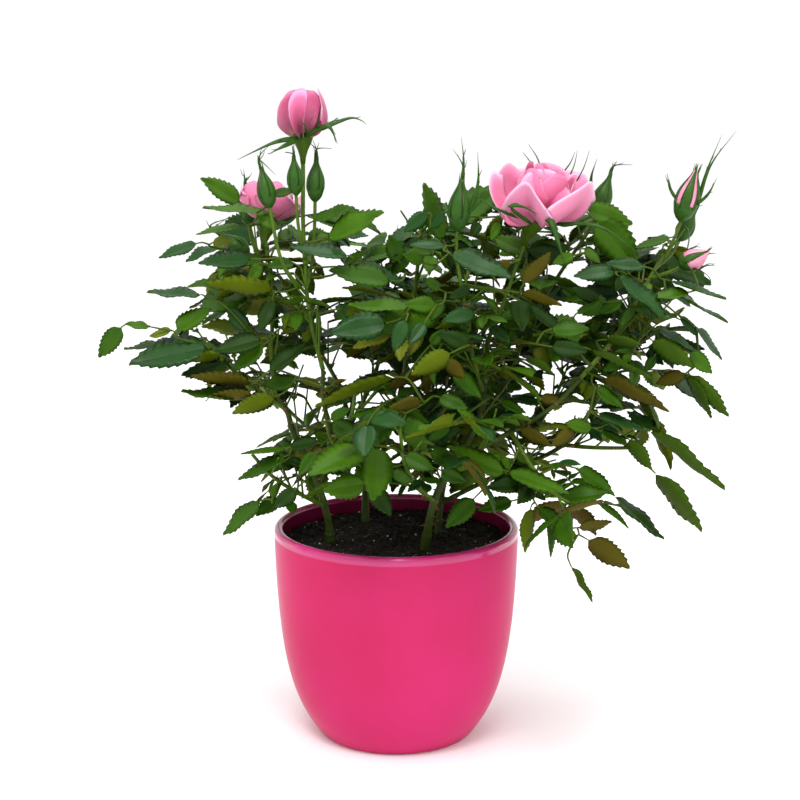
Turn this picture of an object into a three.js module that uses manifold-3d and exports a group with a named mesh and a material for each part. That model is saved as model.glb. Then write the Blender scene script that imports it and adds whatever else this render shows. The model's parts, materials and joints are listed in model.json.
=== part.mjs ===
// A miniature rose bush, about 36 cm tall, growing in its glazed cover pot.
// Millimetres, +Z up. The origin is the centre of the pot's flat underside.
// Two canes show in front and two stand behind them. Boughs leave the canes, and every shoot
// that carries leaves, buds and blooms is one solid, 0.3 mm clear of the limb that bears it.

import * as THREE from 'three';
import { mergeVertices } from 'three/addons/utils/BufferGeometryUtils.js';
import Module from 'manifold-3d';

const wasm = await Module();
wasm.setup();

// ---------------------------------------------------------------- driving dimensions

const GAP = 0.3;
const FINEST_EDGE = 0.02;
const NEARLY_ZERO = 1e-6;

const POT_HEIGHT = 114;
const POT_RIM_RADIUS = 65;
const POT_FOOT_RADIUS = 41;
const POT_WALL = 4.9;
const POT_FLOOR = 6;
const POT_SIDES = 28;
const SOIL_LEVEL = 106;
const SOIL_SHRINK = 0.2;
const INNER_CORNER = 4;

const LIMB_SIDES = 6;
const SHOOT_SIDES = 5;
const TWIG_SIDES = 3;

// Leaves stand two fifths of a turn apart round their stem, five of them in two turns.
const LEAF_TURN = 144;
const LEAF_THICKNESS = 0.8;
const LEAF_LEAN = 58;
const STEEPEST_LEAF = 62;
const USUAL_DROOP = 48;
const TWIG_LEAF_SCALE = 0.86;
const LEAFLET_WIDTH = 0.62;
const LEAFLET_WIDEST = 0.42;
const LEAFLET_FOLD = 0.2;
const LEAFLET_DROP = 0.14;
const LEAFLET_TESTS = [0.1, 0.26, 0.42, 0.57, 0.72, 0.86, 0.98];
const ACROSS_TESTS = [-1, -0.5, 0, 0.5, 1];

// A compound leaf's stalk: its pairs of leaflets start near the end and step back towards the stem.
const RACHIS_RADIUS = 0.9;
const RACHIS_LENGTH = 0.72;
const RACHIS_LENGTH_PER_PAIR = 0.2;
const FIRST_PAIR = 0.75;
const PAIR_STEP = 0.28;
const PAIR_SCALE = 0.9;
const PAIR_SCALE_STEP = 0.16;
const PAIR_ANGLE = (62 * Math.PI) / 180;
const PAIR_HANG = 0.8;
const TIP_LEAFLET_ROOT = 0.5;
const STALK_TESTS = [0.3, 0.45, 0.6, 0.75, 0.9, 1];

const SHOOT_BASE = 1.25;
const SHOOT_TIP = 0.9;
const STALK_RADIUS = 0.9;
const TWIG_RADIUS = 0.9;
const TWIG_LENGTH = 30;
const TWIG_LEAN = 50;
const TAPER = 0.85;
const OUTWARD_RISE = 0.3;
const TO_THE_LIGHT = 0.25;
const TWIG_LIFT = 0.14;

const SEPAL_WIDTH = 3.2;
const PETAL_ROOT = 2;

// Room kept free round a leaf: to another mass, to its own mass, and to any stem.
const CLEAR_OF_OTHERS = 3.6;
const CLEAR_OF_OWN = 2;
const CLEAR_OF_STEMS = 2.6;
const CLEAR_OF_POT = 3;
const LOWEST_LEAF = 84;

// The space the leaves fill: an oval leaning to the right, drawn in low down on the left.
const CROWN_TOP = 286;
const CROWN_MIDDLE = 9;
const CROWN_HALF_WIDTH = 168;
const CROWN_LOW_HALF_WIDTH = 108;
const CROWN_HALF_DEPTH = 128;
const CROWN_SHOULDER = 172;
const CROWN_SHOULDER_RISE = 20;

// ---------------------------------------------------------------- finishes

const finish = (color, roughness) => new THREE.MeshStandardMaterial({ color, roughness, metalness: 0 });
const GLAZE = finish(0xe5407a, 0.15);
const COMPOST = finish(0x14120f, 0.95);
const BARK = finish(0x4a5a14, 0.6);
const FOLIAGE = finish(0x2b6136, 0.5);

// ---------------------------------------------------------------- seeded growth

// A small repeatable random sequence: every mass has its own seed.
function sequence(seed) {
  let state = seed >>> 0;
  return () => {
    state = (Math.imul(state, 1664525) + 1013904223) >>> 0;
    return state / 4294967296;
  };
}

const spread = (random, width) => (random() * 2 - 1) * width;
const radians = (degrees) => (degrees * Math.PI) / 180;
const point = (xyz) => new THREE.Vector3(...xyz);
const UP = new THREE.Vector3(0, 0, 1);
const clamp = THREE.MathUtils.clamp;
const lerp = THREE.MathUtils.lerp;

// ---------------------------------------------------------------- solids

function solidOf(geometry) {
  geometry.deleteAttribute('normal');
  geometry.deleteAttribute('uv');
  const merged = mergeVertices(geometry, 1e-4);
  return new wasm.Manifold(new wasm.Mesh({
    numProp: 3,
    vertProperties: new Float32Array(merged.attributes.position.array),
    triVerts: new Uint32Array(merged.index.array),
  }));
}

function geometryOf(solid) {
  const mesh = solid.getMesh();
  const geometry = new THREE.BufferGeometry();
  geometry.setAttribute('position', new THREE.BufferAttribute(new Float32Array(mesh.vertProperties), 3));
  geometry.setIndex(new THREE.BufferAttribute(new Uint32Array(mesh.triVerts), 1));
  geometry.computeVertexNormals();
  return geometry;
}

// Joins pieces into one body, cut back from what it grows on. Any loose scrap is dropped.
function fuse(pieces, cutter) {
  const joined = wasm.Manifold.union(pieces);
  const cut = cutter ? joined.subtract(cutter) : joined;
  const bodies = cut.simplify(FINEST_EDGE).decompose();
  return bodies.reduce((best, body) => (body.volume() > best.volume() ? body : best));
}

function stemCurve(path) {
  return new THREE.CatmullRomCurve3(path.map(point), false, 'catmullrom', 0.5);
}

// A round tapering stem: a cylinder bent along its path, with an optional flare at the foot.
function stem(path, baseRadius, tipRadius, sides, steps, flare = 0) {
  const curve = stemCurve(path);
  const rings = Array.from({ length: steps + 1 }, (_, i) => curve.getPoint(i / steps));
  const tube = new THREE.CylinderGeometry(1, 1, 1, sides, steps);
  const { position } = tube.attributes;
  const tangents = rings.map((_, i) => curve.getTangent(i / steps));
  if (flare) tangents[0].copy(UP);
  const across = new THREE.Vector3(1, 0, 0).cross(tangents[0]).normalize();
  const normals = tangents.map((tangent) => {
    across.addScaledVector(tangent, -across.dot(tangent)).normalize();
    return across.clone();
  });
  for (let i = 0; i < position.count; i += 1) {
    const along = position.getY(i) + 0.5;
    const ring = Math.round(along * steps);
    const radius = lerp(baseRadius, tipRadius, along) + flare * Math.max(0, 1 - along * steps);
    const other = new THREE.Vector3().crossVectors(normals[ring], tangents[ring]);
    const place = rings[ring].clone();
    place.addScaledVector(normals[ring], position.getX(i) * radius);
    place.addScaledVector(other, position.getZ(i) * radius);
    position.setXYZ(i, place.x, place.y, place.z);
  }
  return solidOf(tube);
}

// ---------------------------------------------------------------- pot and compost

// The wall leaves the foot in a round turn and stands nearly upright below the lip.
function potWall() {
  return new THREE.CubicBezierCurve(
    new THREE.Vector2(POT_FOOT_RADIUS, 0),
    new THREE.Vector2(56, 18),
    new THREE.Vector2(63.5, 40),
    new THREE.Vector2(POT_RIM_RADIUS, POT_HEIGHT - POT_WALL / 2),
  );
}

function insideWall(inset, bottom, top) {
  return potWall().getPoints(6)
    .map((p) => new THREE.Vector2(p.x - inset, p.y))
    .filter((p) => p.y > bottom && p.y < top);
}

function radiusInside(inset, height) {
  const off = (p) => Math.abs(p.y - height);
  const nearest = potWall().getPoints(200).reduce((best, p) => (off(p) < off(best) ? p : best));
  return nearest.x - inset;
}

function buildPot() {
  const lip = POT_WALL / 2;
  const outside = potWall().getPoints(7);
  const crown = Array.from({ length: 3 }, (_, i) => {
    const turn = (Math.PI * (i + 1)) / 4;
    return new THREE.Vector2(
      POT_RIM_RADIUS - lip + lip * Math.cos(turn),
      POT_HEIGHT - lip + lip * Math.sin(turn),
    );
  });
  const inside = insideWall(POT_WALL, POT_FLOOR + INNER_CORNER, POT_HEIGHT - lip + 1).reverse();
  const floorEdge = new THREE.Vector2(radiusInside(POT_WALL + INNER_CORNER, POT_FLOOR), POT_FLOOR);
  const floorCentre = new THREE.Vector2(0, POT_FLOOR);
  const foot = new THREE.Vector2(0, 0);
  const profile = [foot, ...outside, ...crown, ...inside, floorEdge, floorCentre];
  return new THREE.LatheGeometry(profile, POT_SIDES).rotateX(Math.PI / 2);
}

function buildSoil() {
  const inset = POT_WALL + GAP + SOIL_SHRINK;
  const side = insideWall(inset, POT_FLOOR + INNER_CORNER, SOIL_LEVEL - 3);
  const profile = [
    new THREE.Vector2(0, POT_FLOOR + GAP),
    new THREE.Vector2(radiusInside(inset + INNER_CORNER, POT_FLOOR), POT_FLOOR + GAP),
    ...side,
    new THREE.Vector2(radiusInside(inset, SOIL_LEVEL), SOIL_LEVEL),
    new THREE.Vector2(0, SOIL_LEVEL),
  ];
  return new THREE.LatheGeometry(profile, POT_SIDES).rotateX(Math.PI / 2);
}

// ---------------------------------------------------------------- canes and boughs

// Canes stand on the compost. A bough starts inside its parent and is cut back clear of it.
const LIMBS = [
  { name: 'cane_left', base: 2.1, tip: 1.2, flare: 0.7,
    path: [[-35, -7, 106.3], [-36, -8, 118], [-42, -10, 141], [-53, -15, 166], [-56, -18, 178], [-62, -18, 187]] },
  { name: 'cane_right', base: 2, tip: 1.6, flare: 0.7,
    path: [[15, -23, 106.3], [18, -28, 127], [23, -28, 142], [34, -27, 160], [43, -25, 178], [45, -25, 195]] },
  { name: 'cane_back_right', base: 1.6, tip: 1.1, flare: 0.5,
    path: [[22, 8, 106.3], [25, 14, 128], [31, 28, 152], [36, 38, 178]] },
  { name: 'cane_back_left', base: 1.8, tip: 1.2, flare: 0.6,
    path: [[-17, 30, 106.3], [-18, 38, 130], [-24, 46, 155], [-32, 50, 180]] },
  { name: 'bough_left_inner', parent: 'cane_left', base: 1.4, tip: 1.1,
    path: [[-40, -9, 136], [-36, -16, 152], [-34, -20, 168], [-37, -25, 186], [-37, -28, 202]] },
  { name: 'bough_centre', parent: 'cane_back_left', base: 1.3, tip: 1,
    path: [[-17.5, 35, 122], [-8, 26, 146], [-1, 18, 170], [4, 12, 192]] },
  { name: 'bough_right_upper', parent: 'cane_right', base: 1.3, tip: 1.1,
    path: [[36, -26.5, 165], [44, -8, 174], [52, 4, 181], [61, 12, 192]] },
  { name: 'bough_right_front', parent: 'cane_right', base: 1.4, tip: 1.1,
    path: [[29, -27.5, 153], [48, -34, 166], [68, -34, 177], [80, -33, 185], [93, -30, 198]] },
  { name: 'bough_right_low', parent: 'cane_back_right', base: 1.3, tip: 1.1,
    path: [[24, 12, 122], [52, 6, 138], [84, 0, 154], [98, 0, 169], [105, 0, 180]] },
];

function limbSolid(limb, grow = 0) {
  const steps = limb.path.length;
  return stem(limb.path, limb.base + grow, limb.tip + grow, LIMB_SIDES, steps, limb.flare ?? 0);
}

function buildLimb(limb) {
  const solid = limbSolid(limb);
  const parent = LIMBS.find((other) => other.name === limb.parent);
  return parent ? fuse([solid], limbSolid(parent, GAP)) : solid;
}

// ---------------------------------------------------------------- leaves

// One leaflet: a flattened octahedron, folded up along its midrib, with its tip hanging.
function leafletShape({ root, along, side, normal, length, width, sunk }) {
  const blade = new THREE.OctahedronGeometry(1, 0);
  const { position } = blade.attributes;
  for (let i = 0; i < position.count; i += 1) {
    const x = position.getX(i);
    const y = position.getY(i);
    const z = position.getZ(i);
    const reach = x < -0.5 ? -sunk : x > 0.5 ? length : length * LEAFLET_WIDEST;
    const half = (y * width) / 2;
    const lift = Math.abs(half) * LEAFLET_FOLD - reach * LEAFLET_DROP;
    const place = root.clone();
    place.addScaledVector(along, reach);
    place.addScaledVector(side, half);
    place.addScaledVector(normal, lift + Math.min(0, z) * LEAF_THICKNESS);
    position.setXYZ(i, place.x, place.y, place.z);
  }
  return solidOf(blade);
}

// The places a leaflet is tested at, spread over its blade.
function leafletPlaces({ root, along, side, normal, length, width }) {
  const places = [];
  for (const reach of LEAFLET_TESTS) {
    const half = (width / 2) * Math.min(reach / LEAFLET_WIDEST, (1 - reach) / (1 - LEAFLET_WIDEST));
    for (const across of ACROSS_TESTS) {
      const place = root.clone();
      place.addScaledVector(along, reach * length);
      place.addScaledVector(side, across * half);
      place.addScaledVector(normal, Math.abs(across) * half * LEAFLET_FOLD - reach * length * LEAFLET_DROP);
      places.push(place);
    }
  }
  return places;
}

// A direction at a heading round Z and an angle above the level, with the level side of it.
function slope(heading, climb) {
  const flat = Math.cos(climb);
  return {
    along: new THREE.Vector3(Math.cos(heading) * flat, Math.sin(heading) * flat, Math.sin(climb)),
    side: new THREE.Vector3(-Math.sin(heading), Math.cos(heading), 0),
  };
}

// A leaflet at a place on the leaf's stalk, turned off it by an angle and hanging from it.
function leaflet(root, frame, off, length, hang, sunk) {
  const along = frame.along.clone().multiplyScalar(Math.cos(off));
  along.addScaledVector(frame.side, Math.sin(off)).addScaledVector(frame.normal, -hang).normalize();
  const side = new THREE.Vector3().crossVectors(frame.normal, along).normalize();
  const normal = new THREE.Vector3().crossVectors(along, side);
  return { root, along, side, normal, length, width: length * LEAFLET_WIDTH, sunk };
}

// A compound leaf: a stalk with leaflets in pairs and one at its end. It climbs from the stem
// at "rise" and its leaflets hang further, by "droop" degrees in all.
function compoundLeaf(start, heading, rise, { size, count, droop, roll }) {
  const pairs = (count - 1) / 2;
  const reach = size * (RACHIS_LENGTH + RACHIS_LENGTH_PER_PAIR * pairs);
  const { along, side } = slope(heading, radians(rise - droop * 0.45));
  side.applyAxisAngle(along, radians(roll));
  const frame = { along, side, normal: new THREE.Vector3().crossVectors(along, side) };
  const placeAt = (t) => start.clone().addScaledVector(along, reach * t);
  const hang = Math.tan(radians(droop * 0.35));
  const leaflets = [];
  for (let pair = 0; pair < pairs; pair += 1) {
    const root = placeAt(FIRST_PAIR - PAIR_STEP * pair);
    const length = size * (PAIR_SCALE - PAIR_SCALE_STEP * pair);
    leaflets.push(leaflet(root, frame, PAIR_ANGLE, length, hang * PAIR_HANG, 0));
    leaflets.push(leaflet(root, frame, -PAIR_ANGLE, length, hang * PAIR_HANG, 0));
  }
  leaflets.push(leaflet(placeAt(1), frame, 0, size, hang, TIP_LEAFLET_ROOT));
  return { start, stalk: STALK_TESTS.map(placeAt), leaflets };
}

function leafSolids({ start, stalk, leaflets }) {
  const ends = [start.toArray(), stalk.at(-1).toArray()];
  const rachis = stem(ends, RACHIS_RADIUS, RACHIS_RADIUS * TAPER, TWIG_SIDES, 1);
  return [rachis, ...leaflets.map(leafletShape)];
}

// ---------------------------------------------------------------- room in the crown

// Everything grown so far, as small balls with the name of the mass that owns them.
const grown = [];

function occupy(owner, kind, place, radius) {
  grown.push({ owner, kind, x: place.x, y: place.y, z: place.z, radius });
}

function occupyStem(owner, path, baseRadius, tipRadius) {
  const curve = stemCurve(path);
  const steps = Math.ceil(curve.getLength() / 4);
  for (let i = 0; i <= steps; i += 1) {
    const t = i / steps;
    occupy(owner, 'stem', curve.getPoint(t), baseRadius + (tipRadius - baseRadius) * t);
  }
}

function clearOfPot(place) {
  const out = Math.hypot(place.x, place.y);
  if (place.z < LOWEST_LEAF) return false;
  if (place.z > POT_HEIGHT + CLEAR_OF_POT || out > POT_RIM_RADIUS + CLEAR_OF_POT) return true;
  return out < POT_RIM_RADIUS - POT_WALL - CLEAR_OF_POT && place.z > SOIL_LEVEL + CLEAR_OF_POT;
}

function insideCrown({ x, y, z }) {
  const wide = clamp((z - CROWN_SHOULDER) / CROWN_SHOULDER_RISE, 0, 1);
  const left = lerp(CROWN_LOW_HALF_WIDTH, CROWN_HALF_WIDTH, wide);
  const half = x < CROWN_MIDDLE && y < 0 ? left : CROWN_HALF_WIDTH;
  return z < CROWN_TOP && Math.hypot((x - CROWN_MIDDLE) / half, y / CROWN_HALF_DEPTH) < 1;
}

function clearance(ball, owner) {
  if (ball.kind === 'stem') return ball.radius + CLEAR_OF_STEMS;
  return ball.radius + (ball.owner === owner ? CLEAR_OF_OWN : CLEAR_OF_OTHERS);
}

function hasRoom(leaf, owner) {
  const blades = leaf.leaflets.flatMap(leafletPlaces);
  if (!blades.every((place) => clearOfPot(place) && insideCrown(place))) return false;
  return grown.every((ball) => {
    const room = clearance(ball, owner) ** 2;
    const free = (p) => (p.x - ball.x) ** 2 + (p.y - ball.y) ** 2 + (p.z - ball.z) ** 2 > room;
    return blades.every(free) && (ball.owner === owner || leaf.stalk.every(free));
  });
}

function settle(leaf, owner) {
  leaf.leaflets.flatMap(leafletPlaces).forEach((place) => occupy(owner, 'leaf', place, 0));
  leaf.stalk.forEach((place) => occupy(owner, 'leaf', place, RACHIS_RADIUS));
}

// ---------------------------------------------------------------- buds and blooms

// A frame that looks along a direction, for what is set round a flower's axis.
function frameAlong(direction) {
  const axis = direction.clone().normalize();
  const side = new THREE.Vector3().crossVectors(UP, axis);
  if (side.lengthSq() < NEARLY_ZERO) side.set(1, 0, 0);
  side.normalize();
  return { axis, side, front: new THREE.Vector3().crossVectors(axis, side) };
}

function turned(outline, sides, place, direction) {
  const shape = new THREE.LatheGeometry(outline.map(([r, h]) => new THREE.Vector2(r, h)), sides);
  const turn = new THREE.Quaternion().setFromUnitVectors(new THREE.Vector3(0, 1, 0), direction);
  return solidOf(shape.applyQuaternion(turn).translate(place.x, place.y, place.z));
}

// Slender sepals, spreading from the top of the hip.
function sepals(place, direction, { length, open, turn, start, count }) {
  const { axis, side, front } = frameAlong(direction);
  return Array.from({ length: count }, (_, i) => {
    const around = radians(turn + (i * 360) / count);
    const out = side.clone().multiplyScalar(Math.cos(around)).addScaledVector(front, Math.sin(around));
    const lean = radians(open);
    const along = axis.clone().multiplyScalar(Math.cos(lean)).addScaledVector(out, Math.sin(lean));
    const across = new THREE.Vector3().crossVectors(axis, out).normalize();
    const normal = new THREE.Vector3().crossVectors(along, across);
    const root = place.clone().addScaledVector(out, start);
    const blade = { root, along, side: across, normal, length, width: SEPAL_WIDTH };
    return leafletShape({ ...blade, sunk: PETAL_ROOT });
  });
}

// A bud: a round green hip, and the closed petals wrapped in the sepals above it.
function bud(place, direction, { width, length, sepal = 18, open = 12 }) {
  const r = width / 2;
  const outline = [[0, -0.4], [0.58, -0.2], [1, 0.28], [0, 1]];
  const body = turned(outline.map(([x, y]) => [x * r, y * length]), 5, place, direction);
  const wrap = { length: sepal, open, turn: 20, start: r * 0.45, count: 3 };
  return [body, ...sepals(place, direction, wrap)];
}

// An open rose: a cupped ball of petals with five broad outer petals folded back.
function bloom(place, direction, { width, height, sepal = 22, open = 80, petals = 5 }) {
  const r = width / 2;
  const outline = [[0, -0.34], [0.22, -0.2], [0.5, 0.06], [0.84, 0.42], [0.72, 0.86], [0, 0.94]];
  const cup = turned(outline.map(([x, y]) => [x * r, y * height]), 7, place, direction);
  const { axis, side, front } = frameAlong(direction);
  const outer = Array.from({ length: petals }, (_, i) => {
    const around = radians((i * 360) / petals + 15);
    const out = side.clone().multiplyScalar(Math.cos(around)).addScaledVector(front, Math.sin(around));
    const along = out.clone().multiplyScalar(0.62).addScaledVector(axis, 0.78).normalize();
    const across = new THREE.Vector3().crossVectors(axis, out).normalize();
    const normal = new THREE.Vector3().crossVectors(along, across);
    const root = place.clone().addScaledVector(out, r * 0.2);
    const blade = { root, along, side: across, normal, length: r * 1.22, width: r * 1.15 };
    return leafletShape({ ...blade, sunk: PETAL_ROOT });
  });
  const calyx = { length: sepal, open, turn: 50, start: r * 0.12, count: 5 };
  return [cup, ...outer, ...sepals(place, direction, calyx)];
}

const HEADS = { bud, bloom };

// ---------------------------------------------------------------- masses of foliage

// Each mass grows from one stem. "leaves" stand on the stem from "first" upward, "turn" is the
// side its first leaf faces, "twigs" are short side twigs, and flower stalks carry the heads.
const MASSES = [
  {
    name: 'mass_left_top', on: 'bough_left_inner',
    seed: 34, leaves: 5, twigs: 0, turn: 180, size: 32,
    path: [[-37, -28, 202.4], [-42, -26, 222], [-45, -23, 240], [-46, -20, 260]],
    stalks: [
      {
        path: [[-46, -21, 255], [-47, -16, 276], [-47, -12, 298], [-47, -10, 321]],
        head: 'bloom', width: 27, height: 22, sepal: 26, open: 100,
      },
      {
        path: [[-45, -23, 243], [-42, -14, 262], [-41, -8, 292]],
        head: 'bud', width: 9, length: 15, sepal: 17,
      },
      {
        path: [[-45, -23, 240], [-57, -30, 258], [-64, -26, 290]],
        head: 'bud', width: 9, length: 14, sepal: 16,
      },
      {
        path: [[-46, -21, 258], [-49, -25, 276], [-50, -26, 296]],
        head: 'bud', width: 8, length: 13, sepal: 12,
      },
    ],
  },
  {
    name: 'mass_left_outer', on: 'cane_left',
    seed: 23, leaves: 7, twigs: 1, turn: 30, size: 31,
    path: [[-62.2, -18, 187.4], [-64, -15, 212], [-63, -8, 240], [-68, 4, 264]],
    stalks: [
      {
        path: [[-67, 2, 260], [-68, 6, 268], [-67, 9, 275]],
        head: 'bloom', width: 34, height: 19, sepal: 15, open: 95,
      },
      {
        path: [[-65, -2, 249], [-74, 2, 253], [-81, 4, 259]],
        head: 'bud', width: 12, length: 13, sepal: 12,
      },
    ],
  },
  {
    name: 'mass_left_far', on: 'cane_left',
    seed: 60, leaves: 5, twigs: 0, turn: 80, size: 34, droop: 72,
    path: [[-57, -18, 180], [-74, -22, 193], [-88, -23, 206], [-99, -29, 216]],
  },
  {
    name: 'mass_left_back', on: 'cane_back_left',
    seed: 43, leaves: 6, twigs: 0, turn: 50, size: 34,
    path: [[-32.2, 50, 180.4], [-46, 53, 204], [-62, 54, 226], [-76, 50, 250]],
    stalks: [
      {
        path: [[-75, 50, 248], [-79, 49, 262], [-80, 48, 274]],
        head: 'bud', width: 10, length: 15,
      },
    ],
  },
  {
    name: 'mass_left_low', on: 'cane_left',
    seed: 129, leaves: 4, twigs: 0, turn: 150, size: 35, droop: 71,
    path: [[-38, -9, 126], [-52, -18, 136], [-64, -24, 146], [-74, -26, 158]],
  },
  {
    name: 'mass_left_front', on: 'bough_left_inner',
    seed: 67, leaves: 5, twigs: 1, turn: 220, size: 36,
    path: [[-34.5, -19, 163], [-28, -34, 172], [-22, -48, 184], [-20, -56, 198]],
  },
  {
    name: 'mass_centre_back', on: 'cane_back_left',
    seed: 82, leaves: 6, twigs: 1, turn: 340, size: 34,
    path: [[-25, 47, 158], [-12, 56, 184], [-6, 58, 214], [-4, 52, 246]],
    stalks: [
      {
        path: [[-4, 52, 244], [-1, 50, 258], [0, 48, 270]],
        head: 'bud', width: 10, length: 15,
      },
    ],
  },
  {
    name: 'mass_centre', on: 'bough_centre',
    seed: 186, leaves: 7, twigs: 0, turn: 260, size: 31,
    path: [[4.1, 11.8, 192.4], [8, 6, 220], [11, 2, 250], [14, 2, 280]],
  },
  {
    name: 'mass_centre_front', on: 'cane_right',
    seed: 97, leaves: 5, twigs: 1, turn: 170, size: 35,
    path: [[20, -28.4, 133], [10, -42, 146], [4, -56, 162], [2, -64, 180]],
  },
  {
    name: 'mass_right_bud', on: 'cane_right',
    seed: 173, leaves: 5, twigs: 0, turn: 280, size: 31,
    path: [[44.6, -25.2, 190], [38, -31, 213], [35, -33, 234], [30, -35, 260]],
    stalks: [
      {
        path: [[30.5, -35, 257], [30, -35, 269], [31, -35, 281]],
        head: 'bud', width: 11, length: 18, sepal: 27, open: 6,
      },
    ],
  },
  {
    name: 'mass_big_rose', on: 'cane_right',
    seed: 223, leaves: 4, twigs: 0, turn: 50, size: 32,
    path: [[45, -25, 195.4], [46, -20, 213], [55, -15, 235], [63, -12, 258]],
    stalks: [
      {
        path: [[62.5, -12, 256], [66, -13, 267], [70, -15, 279]],
        head: 'bloom', width: 54, height: 30, sepal: 28, open: 92,
      },
    ],
  },
  {
    name: 'mass_right_upper', on: 'bough_right_upper',
    seed: 127, leaves: 6, twigs: 1, turn: 160, size: 33,
    path: [[61.2, 12.2, 192.4], [69, 14, 216], [84, 17, 242], [100, 19, 266]],
    stalks: [
      {
        path: [[99, 19, 264], [104, 20, 273], [107, 20, 282]],
        head: 'bud', width: 10, length: 15, sepal: 20, open: 20,
      },
    ],
  },
  {
    name: 'mass_right_tall', on: 'bough_right_front',
    seed: 148, leaves: 4, twigs: 1, turn: 220, size: 37, droop: 40,
    path: [[93.3, -29.8, 198.4], [112, -22, 219], [124, -19, 240], [136, -16, 260]],
    stalks: [
      {
        path: [[136, -16, 258], [142, -15, 270], [146, -15, 284]],
        head: 'bud', width: 12, length: 19, sepal: 38, open: 14,
      },
      {
        path: [[131, -17, 252], [141, -10, 260], [147, -6, 270]],
        head: 'bud', width: 9, length: 12, sepal: 13,
      },
      {
        path: [[129, -18, 248], [139, -22, 252], [147, -25, 257]],
        head: 'bud', width: 11, length: 12, sepal: 15, open: 40,
      },
    ],
  },
  {
    name: 'mass_right_outer', on: 'bough_right_low',
    seed: 149, leaves: 6, twigs: 1, turn: 330, size: 33,
    path: [[105.2, 0, 180.4], [114, -1, 196], [124, -1, 210], [134, 0, 226]],
  },
  {
    name: 'mass_right_low', on: 'bough_right_low',
    seed: 151, leaves: 4, twigs: 0, turn: 40, size: 36,
    path: [[88, 0, 157], [100, -10, 158], [112, -16, 159], [122, -20, 160]],
  },
  {
    name: 'mass_front_low', on: 'bough_right_front',
    seed: 163, leaves: 4, twigs: 0, turn: 310, size: 32, droop: 77,
    path: [[58, -34.5, 172], [68, -48, 157], [79, -55, 145], [92, -56, 137]],
  },
  {
    name: 'mass_front_right', on: 'cane_right',
    seed: 178, leaves: 5, twigs: 1, turn: 0, size: 35,
    path: [[26, -28, 148], [34, -46, 156], [42, -60, 168], [48, -68, 184]],
  },
  {
    name: 'mass_right_back', on: 'cane_back_right',
    seed: 215, leaves: 6, twigs: 0, turn: 230, size: 34,
    path: [[36.2, 38.2, 178.4], [46, 48, 204], [58, 54, 230], [72, 54, 254]],
    stalks: [
      {
        path: [[71.5, 54, 252], [75, 53, 264], [76, 52, 276]],
        head: 'bloom', width: 34, height: 24, sepal: 18,
      },
    ],
  },
  {
    name: 'mass_right_back_low', on: 'bough_right_low',
    seed: 223, leaves: 4, twigs: 1, turn: 80, size: 34,
    path: [[60, 5, 142], [72, 24, 154], [84, 42, 168], [94, 54, 184]],
  },
  {
    name: 'mass_back_low', on: 'cane_back_right',
    seed: 199, leaves: 6, twigs: 0, turn: 190, size: 34,
    path: [[27, 18, 136], [26, 42, 148], [22, 62, 162], [20, 78, 180]],
  },
  {
    name: 'mass_left_back_low', on: 'cane_back_left',
    seed: 267, leaves: 5, twigs: 1, turn: 110, size: 34,
    path: [[-19, 40, 134], [-38, 52, 146], [-58, 62, 160], [-74, 68, 178]],
  },
];

// How a leaf is tried: turned round its stem, leaning off it, and at this share of its size.
const LEAF_TRIES = [1, 0.78].flatMap((scale) => [
  [0, LEAF_LEAN, scale],
  [20, LEAF_LEAN, scale],
  [-20, LEAF_LEAN, scale],
  [0, 36, scale],
  [40, LEAF_LEAN, scale],
  [-40, LEAF_LEAN, scale],
  [20, 78, scale],
  [-20, 78, scale],
]);

// The way that a leaf or twig leaves its stem on the side that faces "around", leaning off the
// stem by "lean" degrees and turned a little up to the light.
function departure(tangent, around, lean) {
  const out = new THREE.Vector3(Math.cos(radians(around)), Math.sin(radians(around)), OUTWARD_RISE);
  out.addScaledVector(tangent, -out.dot(tangent)).normalize();
  out.multiplyScalar(Math.sin(radians(lean))).addScaledVector(tangent, Math.cos(radians(lean)));
  out.z += TO_THE_LIGHT;
  return out.normalize();
}

// Tries a leaf at its place, then turned, raised or smaller; it is skipped where none is free.
function growLeaf(mass, { start, tangent, around, leaf }) {
  for (const [turn, lean, scale] of LEAF_TRIES) {
    const way = departure(tangent, around + turn, lean);
    const rise = clamp((Math.asin(way.z) * 180) / Math.PI, 0, STEEPEST_LEAF);
    const fitted = { ...leaf, size: leaf.size * scale };
    const grownLeaf = compoundLeaf(start, Math.atan2(way.y, way.x), rise, fitted);
    if (hasRoom(grownLeaf, mass.name)) {
      settle(grownLeaf, mass.name);
      return leafSolids(grownLeaf);
    }
  }
  return [];
}

// A short side twig, lifting a little towards its tip.
function sideTwig(mass, curve, index, random) {
  const t = 0.3 + 0.26 * index;
  const start = curve.getPoint(t);
  const around = mass.turn + 180 + 150 * index + spread(random, 20);
  const way = departure(curve.getTangent(t), around, TWIG_LEAN);
  const length = TWIG_LENGTH + spread(random, 6);
  const tip = start.clone().addScaledVector(way, length).addScaledVector(UP, length * TWIG_LIFT);
  return [start.toArray(), tip.toArray()];
}

// The measures of one leaf; leaves low on a shoot hang more than those at its tip.
function leafOf(random, size, count, droop = USUAL_DROOP, height = 0.5) {
  return {
    size: size * (1 + spread(random, 0.16)),
    count,
    droop: droop * (1.3 - 0.6 * height) + spread(random, 20),
    roll: spread(random, 32),
  };
}

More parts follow.
